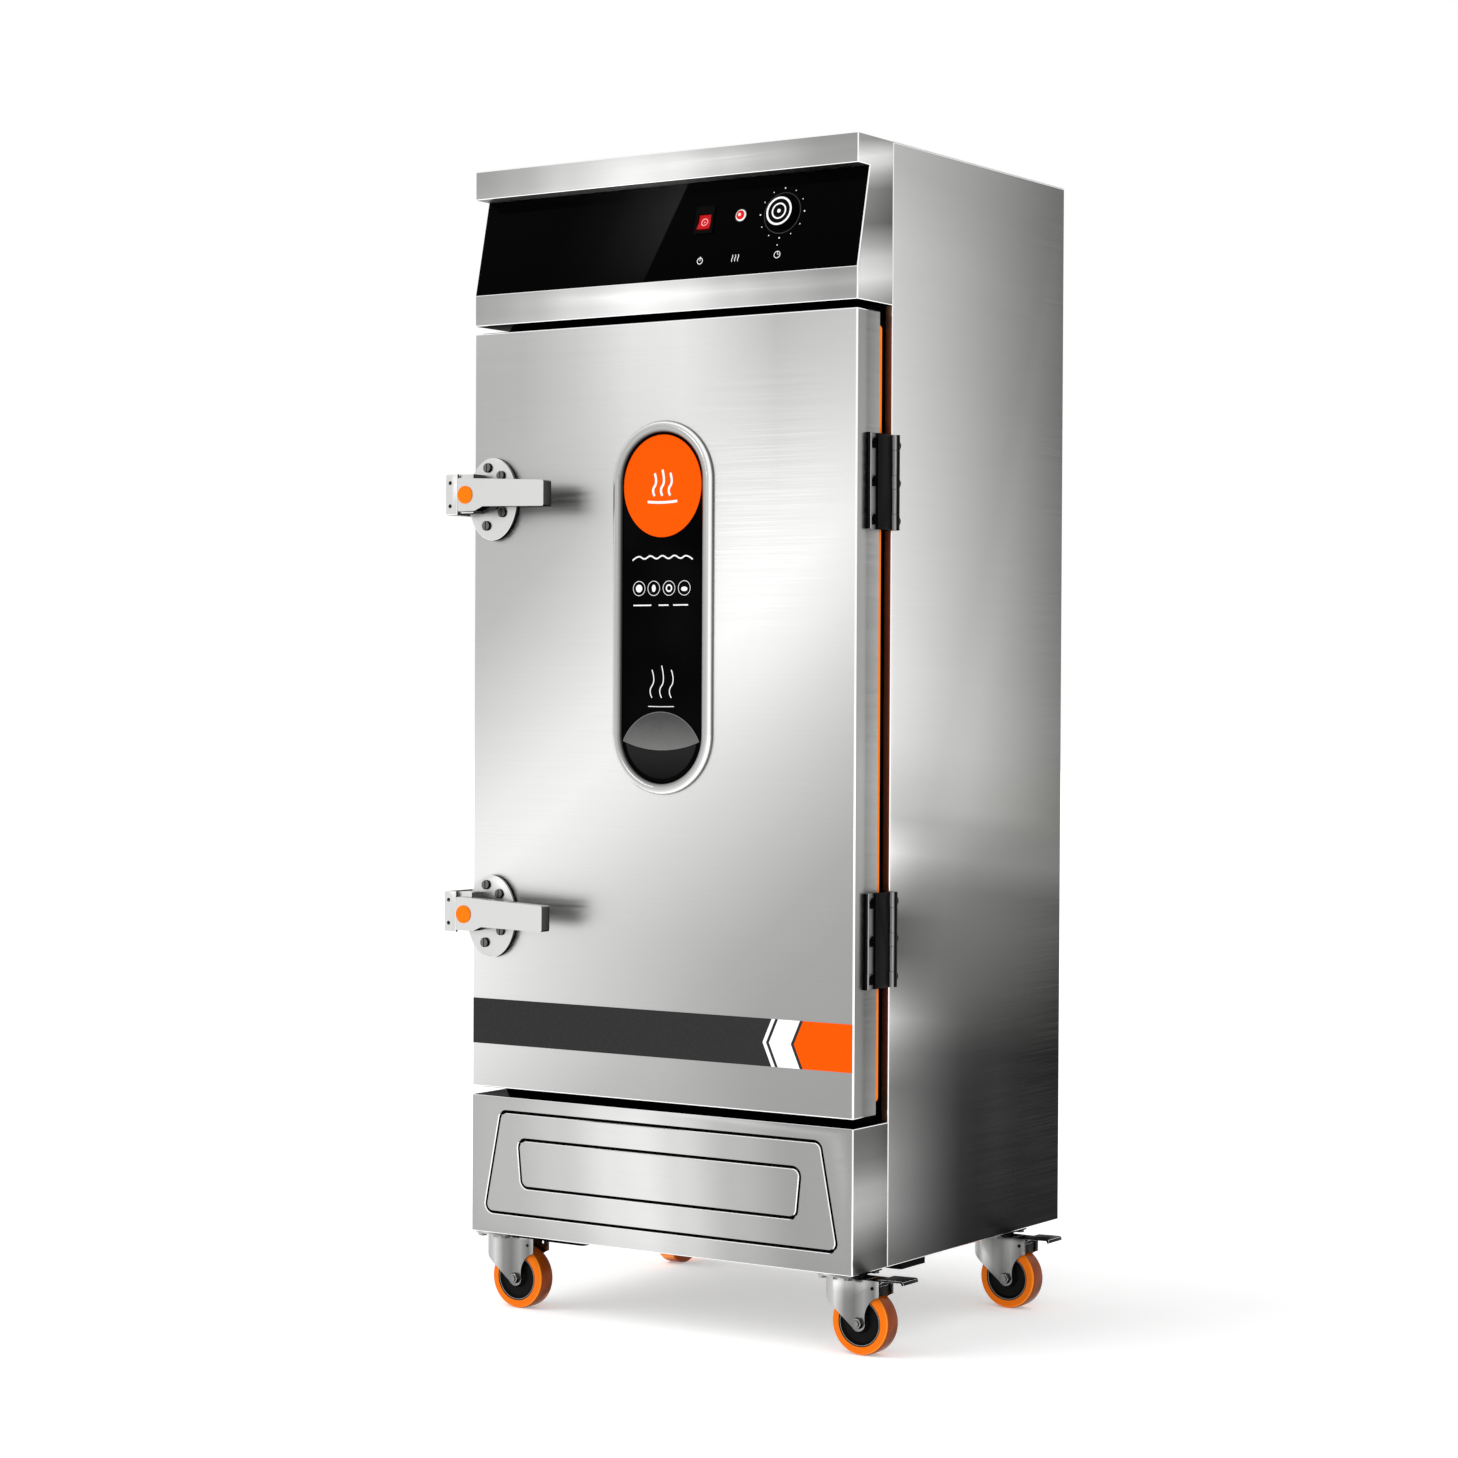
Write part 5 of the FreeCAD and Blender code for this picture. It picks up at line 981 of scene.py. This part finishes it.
signs.append(stroke([(-0.014, 0.9430), (badge_x, 0.9424), (0.033, 0.9430)], 0.0012))
wave = [(-0.044 + 0.011 * i, 1.1670 + (0.0042 if i % 2 else -0.0042)) for i in range(11)]
signs.append(stroke(wave, 0.0024))
for x, half in ((-0.0255, 0.0165), (0.0135, 0.0090), (0.0445, 0.0135)):
    signs.append(stroke([(x - half, 1.0950), (x + half, 1.0950)], 0.0022))
lay("badge_signs", signs, badge_layer(0), upright, "door", "white_plastic", film_white)
print("badge prints laid at", round(badge_face, 4))

# %% [markdown]
# The heap of rice is bounded by a high arc and a shallow one over the same chord. Each is a disc of the right
# radius, cut off at the chord. The dark bowl below is a third such cap. A slightly larger grey heap under the
# rice shows as its outline.

# %% Bowl of rice
def cap(half_width, rise, x=0.0095, chord=0.8905):
    # The part of a disc beyond a chord: above it, or with a negative rise below it.
    radius = (half_width ** 2 + rise ** 2) / (2 * abs(rise))
    way = math.copysign(1.0, rise)
    piece = flat_disc(x, chord + rise - way * radius, radius, corners=192)
    open_piece(piece, "FACE")
    bpy.ops.mesh.select_all(action="SELECT")
    bpy.ops.mesh.bisect(plane_co=(x, chord, 0.0), plane_no=(0.0, way, 0.0), clear_inner=True)
    return close_piece()


def shaded_print(name, low_tone, high_tone, low, high):
    # A printed picture with a soft upright gradient and the speckle of grains.
    material, tree, shader, place = new_material(name, roughness=0.42, Specular_IOR_Level=0.03)
    rise = along(tree, place, (0.0, 0.0, 1.0), low, high, wobble=0.006, grain=40.0)
    speckle = add(tree, "TexNoise", {"Vector": place, "Scale": 420.0, "Detail": 2.0}).outputs["Fac"]
    rise = add(tree, "Math", {0: speckle, 1: 0.25, 2: rise}, operation="MULTIPLY_ADD").outputs["Value"]
    tone = add(tree, "ValToRGB", {"Fac": rise}, stops=[(0.1, low_tone), (1.1, high_tone)])
    tree.links.new(tone.outputs["Color"], shader.inputs["Base Color"])
    return material


bowl_print = shaded_print("printed charcoal, bowl", "#060606", "#202020", 0.826, 0.880)
rice_print = shaded_print("printed grey, rice", "#747473", "#484848", 0.878, 0.936)
rim_print = film("printed grey, outline", "#7C7C7C", "#868686")
lay("badge_bowl", [cap(0.0650, -0.0560)], badge_layer(0), upright, "door", "black_gloss", bowl_print)
lay("badge_outline", [cap(0.0698, 0.0446), cap(0.0698, -0.0132)], badge_layer(1), upright, "door",
    "black_gloss", rim_print)
lay("badge_rice", [cap(0.0688, 0.0438), cap(0.0688, -0.0124)], badge_layer(2), upright, "door",
    "black_gloss", rice_print)
print("bowl of rice laid")

# %% [markdown]
# Round the timer the glass carries a faint circle and twelve ticks at 30 degrees. Under the three controls
# stand the generic signs for power, heat and time.

# %% Control panel prints
tilt = math.pi / 2 - lean
panel_origin = (0.0, face, panel_foot)
knob_x, knob_height = 0.2075, 0.0904
tick_reach = 0.0385                     # from the knob's middle to the ticks
ticks = []
for i in range(12):
    turn = math.radians(30 * i)
    ticks.append(flat_disc(knob_x + tick_reach * math.sin(turn), knob_height + tick_reach * math.cos(turn),
                           0.00125 if i % 3 == 0 else 0.0009, corners=12))
ticks.append(flat_disc(knob_x - 0.002, knob_height - 0.0492, 0.0010, corners=12))
power_x, heat_x, time_x = 0.0704, 0.1336, 0.2075
sign_level = 0.0262
ticks.append(flat_disc(power_x, sign_level, 0.0052, ring=0.0011, corners=32))
ticks.append(stroke([(power_x, sign_level), (power_x, sign_level + 0.0068)], 0.0012))
for i in (-1, 0, 1):
    x = heat_x + i * 0.0052
    ticks.append(stroke([(x, sign_level - 0.005), (x - 0.0014, sign_level - 0.0015),
                         (x + 0.0014, sign_level + 0.002), (x, sign_level + 0.0055)], 0.0012))
ticks.append(flat_disc(time_x, sign_level, 0.0056, ring=0.0010, corners=32))
ticks.append(stroke([(time_x + 0.0028, sign_level), (time_x, sign_level), (time_x, sign_level + 0.004)],
                    0.0010))
lay("panel_marks", ticks, panel_origin, tilt, "cabinet", "white_plastic", film_white)
faint_grey = film("printed grey, dial circle", "#3C3C3C", "#484848")
lay("dial_circle", [flat_disc(knob_x, knob_height, 0.0318, ring=0.0010, corners=72)], panel_origin, tilt,
    "cabinet", "black_gloss", faint_grey)
print("control marks laid")

# %% [markdown]
# The timer knob is a low black drum with two white rings and a white dot on its face. It is made from a
# disc: extruded up, its rim bevelled.

# %% Timer knob
knob_gap = 0.0007                       # between the glass and the knob
knob_thickness = 0.0089


def knob():
    deselect()
    bpy.ops.mesh.primitive_circle_add(vertices=72, radius=0.0226, fill_type="NGON",
                                      location=(knob_x, knob_height, knob_gap))
    piece = bpy.context.object
    bpy.ops.object.transform_apply(location=True, rotation=True, scale=True)
    open_piece(piece)
    bpy.ops.mesh.select_all(action="SELECT")
    bpy.ops.mesh.extrude_region_move(TRANSFORM_OT_translate={"value": (0.0, 0.0, knob_thickness)})
    bpy.ops.mesh.select_all(action="DESELECT")
    bpy.ops.mesh.select_mode(type="EDGE")
    pick("edges", lambda e: middle(e).z > knob_thickness)
    bpy.ops.mesh.bevel(offset=0.0008, segments=3)
    bpy.ops.mesh.select_all(action="SELECT")
    bpy.ops.mesh.normals_make_consistent(inside=False)
    piece = close_piece()
    piece.name = "timer_drum"
    piece.location = panel_origin
    piece.rotation_euler = (tilt, 0.0, 0.0)
    bpy.ops.object.transform_apply(location=True, rotation=True, scale=True)
    return piece


finish(knob(), "timer_dial", "black_plastic", black_plastic, stands_for=("timer_knob",))
rings = [flat_disc(knob_x, knob_height, 0.0219, ring=0.0031, corners=72),
         flat_disc(knob_x, knob_height, 0.0125, ring=0.0024, corners=48),
         flat_disc(knob_x, knob_height, 0.0030, corners=24)]
knob_reach = knob_gap + knob_thickness
knob_top = (0.0, face - knob_reach * math.cos(lean), panel_foot + knob_reach * math.sin(lean))
lay("timer_rings", rings, knob_top, tilt, "timer_dial", "white_plastic", film_white)
print("timer knob made")

# %% [markdown]
# ## Latches
# The levers, their round-ended bases and the keepers are zinc castings, so their edges are rounded too, with
# a smaller radius than the sheets' folds. On the bases only the outer rim is rounded: an edge belongs to it
# when it lies far enough from both of the points round which the ends are struck.

# %% Latches and keepers
for which in ("upper", "lower"):
    node = "latch_lever_" + which
    lever = softened(node, 0.0012, longest_kept=0.004)
    finish(lever, which + "_latch", "cast_zinc", cast_zinc, steel_edge_highlight, stands_for=(node,))
    # Fillet faces that turn to the front get the painted edge highlight.
    give_faces(lever, 1, lambda p: max(abs(n) for n in p.normal) < 0.96 and p.normal.y < -0.2)
low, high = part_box("latch_bases")
base_x = (low.x + high.x) / 2
base_radius = (high.x - low.x) / 2
base_levels = (high.z - base_radius, low.z + base_radius)


def from_struck_points(place):
    return min(math.hypot(place.x - base_x, place.z - z) for z in base_levels)


bases = softened("latch_bases", 0.0010, longest_kept=0.0005,
                 where=lambda e: from_struck_points(middle(e)) > base_radius - 0.0006)
finish(bases, "door", "cast_zinc", cast_zinc, steel_edge_highlight, stands_for=("latch_bases",))
keepers = softened("latch_keepers", 0.0010, longest_kept=0.012)
finish(keepers, "cabinet", "cast_zinc", cast_zinc, steel_edge_highlight, stands_for=("latch_keepers",))
print("latches and keepers made")

# %% [markdown]
# ## Hinges
# The hinges are steel with a smooth black enamel. Their rims and channels get painted reflections of the
# bright door as grey bands across the leaf, and on the knuckles a painted highlight, one light line, follows
# the part of the tube that turns to the front.

# %% Hinge coats
def leaf_enamel():
    material, tree, shader, place = new_material("black coat, hinge leaf", roughness=0.35,
                                                 Specular_IOR_Level=0.04)
    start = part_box("hinge_leaves")[0].y
    # Painted reflections of the door: grey bands across the leaf.
    across = along(tree, place, (0.0, 1.0, 0.0), start, start + 0.030, wobble=0.002, grain=30.0)
    tone = add(tree, "ValToRGB", {"Fac": across}, stops=[
        (0.0, "#050505"), (0.12, "#060606"), (0.16, "#B8B8B8"), (0.23, "#8E8E8E"), (0.25, "#161616"),
        (0.30, "#8A8A8A"), (0.60, "#6A6A6A"), (0.82, "#1E1E1E"), (0.86, "#040404"), (1.0, "#040404")])
    tree.links.new(tone.outputs["Color"], shader.inputs["Base Color"])
    return material


def knuckle_enamel():
    material, tree, shader, place = new_material("black coat, hinge knuckles", roughness=0.35,
                                                 Specular_IOR_Level=0.04)
    way = add(tree, "TexCoord").outputs["Normal"]
    # Painted highlight: a light line where the tube turns to the front.
    turn = add(tree, "VectorMath", {0: way, 1: (0.05, -1.0, 0.0)}, operation="DOT_PRODUCT").outputs["Value"]
    cloud = add(tree, "TexNoise", {"Vector": place, "Scale": 40.0, "Detail": 1.0}).outputs["Fac"]
    turn = add(tree, "Math", {0: cloud, 1: 0.06, 2: turn}, operation="MULTIPLY_ADD").outputs["Value"]
    tone = add(tree, "ValToRGB", {"Fac": turn}, stops=[
        (0.0, "#050505"), (0.70, "#0A0A0A"), (0.84, "#909090"), (0.96, "#B4B4B4"), (1.0, "#8A8A8A")])
    tree.links.new(tone.outputs["Color"], shader.inputs["Base Color"])
    return material


leaf_coat = leaf_enamel()
knuckle_coat = knuckle_enamel()
# A painted highlight on the rounded edges of the black coat, by facing.
black_edge_highlight = facing_metal("black coat, painted edge highlight", [
    (0.0, "#0C0C0C"), (0.5, "#242424"), (0.8, "#6A6A6A"), (1.0, "#F0F0F0")], 0.3)
print("made three hinge coats")

# %% Hinges
leaves = softened("hinge_leaves", 0.0005, longest_kept=0.004)
finish(leaves, "door", "black_metal", leaf_coat, black_edge_highlight, knuckle_coat, stands_for=("hinge_leaves",))
knuckles_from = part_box("hinge_leaves")[1].y - 0.016
give_faces(leaves, 2, lambda p: p.center.y > knuckles_from)
lugs = softened("hinge_lugs_and_pins", 0.0004, longest_kept=0.004)
finish(lugs, "cabinet", "black_metal", knuckle_coat, black_edge_highlight, stands_for=("hinge_lugs_and_pins",))
print("hinges made")

# %% [markdown]
# ## Casters
# Each caster has a pressed fork, a cast polyurethane tread on a nylon wheel, and on the right-hand side a
# foot pedal. Wheels are turned: half of a section is drawn as a closed row of points, spun round the axle,
# merged and given normals that point outwards. One wheel is modelled at the origin and copied to the four
# axles. A caster may stand swivelled by a quarter turn, and then its wheel is turned with it.

# %% Turning on the axle
def turned(name, profile):
    # Spins a closed profile of (offset along the axle, radius) round an axle along Y through the origin.
    deselect()
    bpy.ops.mesh.primitive_circle_add(vertices=len(profile), radius=1, fill_type="NOTHING")
    piece = bpy.context.object
    piece.name = name
    for vertex, (offset, radius) in zip(piece.data.vertices, profile):
        vertex.co = (0.0, offset, radius)
    open_piece(piece, "EDGE")
    bpy.ops.mesh.select_all(action="SELECT")
    bpy.ops.mesh.spin(steps=72, angle=2 * math.pi, center=(0.0, 0.0, 0.0), axis=(0.0, 1.0, 0.0),
                      use_auto_merge=False)
    bpy.ops.mesh.select_all(action="SELECT")
    bpy.ops.mesh.remove_doubles(threshold=0.00001)
    bpy.ops.mesh.normals_make_consistent(inside=False)
    return close_piece(35)


def copied(pattern, name, axle, turn):
    # A copy with its own mesh, turned about the upright and moved to an axle.
    piece = bpy.data.objects.new(name, pattern.data.copy())
    bpy.context.scene.collection.objects.link(piece)
    deselect()
    piece.select_set(True)
    bpy.context.view_layer.objects.active = piece
    piece.location = axle
    piece.rotation_euler = (0.0, 0.0, turn)
    bpy.ops.object.transform_apply(location=True, rotation=True, scale=True)
    return piece


print("lathe ready")

# %% Profiles of a wheel
def tread_profile():
    # Rounded shoulders, flat tread.
    inner, shoulder, top_of_tread, half_width, corner = 0.0355, 0.0420, 0.0480, 0.0170, 0.0060
    points = [(-half_width, inner)]
    for side in (-1, 1):
        for i in range(7):
            turn = math.radians(15 * i if side < 0 else 90 - 15 * i)
            points.append((side * (half_width - corner + corner * math.cos(turn)),
                           shoulder + (top_of_tread - shoulder) * math.sin(turn)))
    points.append((half_width, inner))
    return points


def wheel_profile():
    # Rim, dished web and boss round the axle.
    half = [(0.0180, 0.0052), (0.0180, 0.0130), (0.0120, 0.0158), (0.0120, 0.0290), (0.0150, 0.0322),
            (0.0160, 0.0328), (0.0160, 0.0354)]
    return [(-offset, radius) for offset, radius in half] + half[::-1]


def rim_line_profile(side):
    # A thin grey line on the rim, a painted highlight along its edge.
    return [(side * offset, radius) for offset, radius in (
        (0.0158, 0.0331), (0.0163, 0.0331), (0.0163, 0.0338), (0.0158, 0.0338))]


tread_pattern = turned("tread_pattern", tread_profile())
wheel_pattern = turned("wheel_pattern", wheel_profile())
rim_patterns = {
    "near": turned("rim_pattern_near", rim_line_profile(-1)),
    "far": turned("rim_pattern_far", rim_line_profile(1)),
}
print("wheel patterns:", len(tread_pattern.data.polygons), len(wheel_pattern.data.polygons), "faces")

# %% Four casters
rim_highlight = grained("nylon, painted rim highlight", "#8A8A8A", "#A0A0A0", 0.3, 2.0, 0.00002)
for corner in ("front_left", "front_right", "rear_left", "rear_right"):
    low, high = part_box("tyre_" + corner)
    axle = (low + high) / 2
    turn = 0.0 if high.y - low.y < high.x - low.x else -math.pi / 2
    body = "wheel_" + corner
    finish(copied(tread_pattern, "tread_" + corner, axle, turn), body, "orange_tyre", polyurethane,
           stands_for=("tyre_" + corner,))
    finish(copied(wheel_pattern, "wheel_" + corner, axle, turn), body, "black_nylon", black_nylon,
           stands_for=("wheel_hub_" + corner,))
    for way, pattern in rim_patterns.items():
        finish(copied(pattern, "rim_line_" + way + "_" + corner, axle, turn), body, "black_nylon", rim_highlight)
    fork = softened("caster_fork_" + corner, 0.0009, longest_kept=0.003)
    finish(fork, "fork_" + corner, "zinc_steel", zinc_steel, steel_edge_highlight,
           stands_for=("caster_fork_" + corner,))
    if "right" in corner:
        pedal = softened("brake_pedal_" + corner, 0.0007, longest_kept=0.003)
        finish(pedal, "brake_" + corner, "black_metal", black_coat, steel_edge_highlight,
               stands_for=("brake_pedal_" + corner,))
for pattern in (tread_pattern, wheel_pattern, *rim_patterns.values()):
    bpy.data.objects.remove(pattern)
print("four casters made")

# %% [markdown]
# ## Studio
# A plain pale floor and soft light from all round. The world is white where the camera, metal or glass looks
# at it, and dimmer where it only lights things, so that a colour renders about as it is written. One wide
# soft sun from the front left gives the shadows their direction, a weaker one fills them from the right, and
# a narrow low one stands for the window that metal mirrors.

# %% Floor
deselect()
bpy.ops.mesh.primitive_plane_add(size=60, location=(0.0, 0.0, 0.0))
floor = bpy.context.object
floor.name = "floor"
floor_paint, tree, shader, place = new_material("matt white paint, floor", "#F7F7F7", roughness=0.9,
                                                Specular_IOR_Level=0.0)
fleck = add(tree, "TexNoise", {"Vector": place, "Scale": 3.0}).outputs["Fac"]
pale = add(tree, "ValToRGB", {"Fac": fleck}, stops=[(0.3, "#F8F8F8"), (0.7, "#FAFAFA")])
tree.links.new(pale.outputs["Color"], shader.inputs["Base Color"])
shader.inputs["Emission Color"].default_value = (1.0, 1.0, 1.0, 1.0)
shader.inputs["Emission Strength"].default_value = 0.30
floor.data.materials.append(floor_paint)
print("floor 60 m wide")

# %% World and sun
world = bpy.data.worlds.new("soft white room")
bpy.context.scene.world = world
world.use_nodes = True
tree = world.node_tree
sky = tree.nodes["Background"]
rays = add(tree, "LightPath").outputs
seen = add(tree, "Math", {0: rays["Is Camera Ray"], 1: rays["Is Glossy Ray"]},
           operation="MAXIMUM").outputs["Value"]
seen = add(tree, "Math", {0: seen, 1: rays["Is Transmission Ray"]}, operation="MAXIMUM").outputs["Value"]
level = add(tree, "MapRange", {"Value": seen, "To Min": 0.72, "To Max": 1.0}).outputs["Result"]
sky.inputs["Color"].default_value = (1.0, 1.0, 1.0, 1.0)
tree.links.new(level, sky.inputs["Strength"])


def soft_sun(name, energy, angle, tilt_from_top, toward):
    # A wide, far lamp. Its angle is the size of the light in the sky: the wider, the softer its shadows.
    deselect()
    bpy.ops.object.light_add(type="SUN", location=(0.0, 0.0, 4.0),
                             rotation=(math.radians(tilt_from_top), 0.0, math.radians(toward)))
    lamp = bpy.context.object
    lamp.name = name
    lamp.data.energy = energy
    lamp.data.angle = math.radians(angle)
    return lamp


key = soft_sun("key", 1.15, 50, 48, -52)
fill = soft_sun("fill", 0.35, 70, 55, 60)
key.visible_glossy = False
fill.visible_glossy = False
window = soft_sun("window", 0.075, 12, 80, -26)
print("key", key.data.energy, "fill", fill.data.energy, "window", window.data.energy)

# %% [markdown]
# ## Camera
# The photograph's three vanishing directions give its lens and place: about 5.2 m away, 1 m above the floor,
# turned 34 degrees to the right of the door.

# %% Camera
camera = bpy.data.objects.new("camera", bpy.data.cameras.new("camera"))
bpy.context.scene.collection.objects.link(camera)
camera.location = (2.802, -4.303, 0.970)
camera.rotation_euler = (math.radians(89.29), math.radians(-0.28), math.radians(33.82))
camera.data.lens = 80.04
camera.data.sensor_width = 36.0          # a full-frame camera's, for the lens above
bpy.context.scene.camera = camera
bpy.context.scene.view_settings.view_transform = "Standard"
print("camera", [round(c, 3) for c in camera.location])

# %% [markdown]
# At the end nothing is left selected.

# %% Finish
deselect()
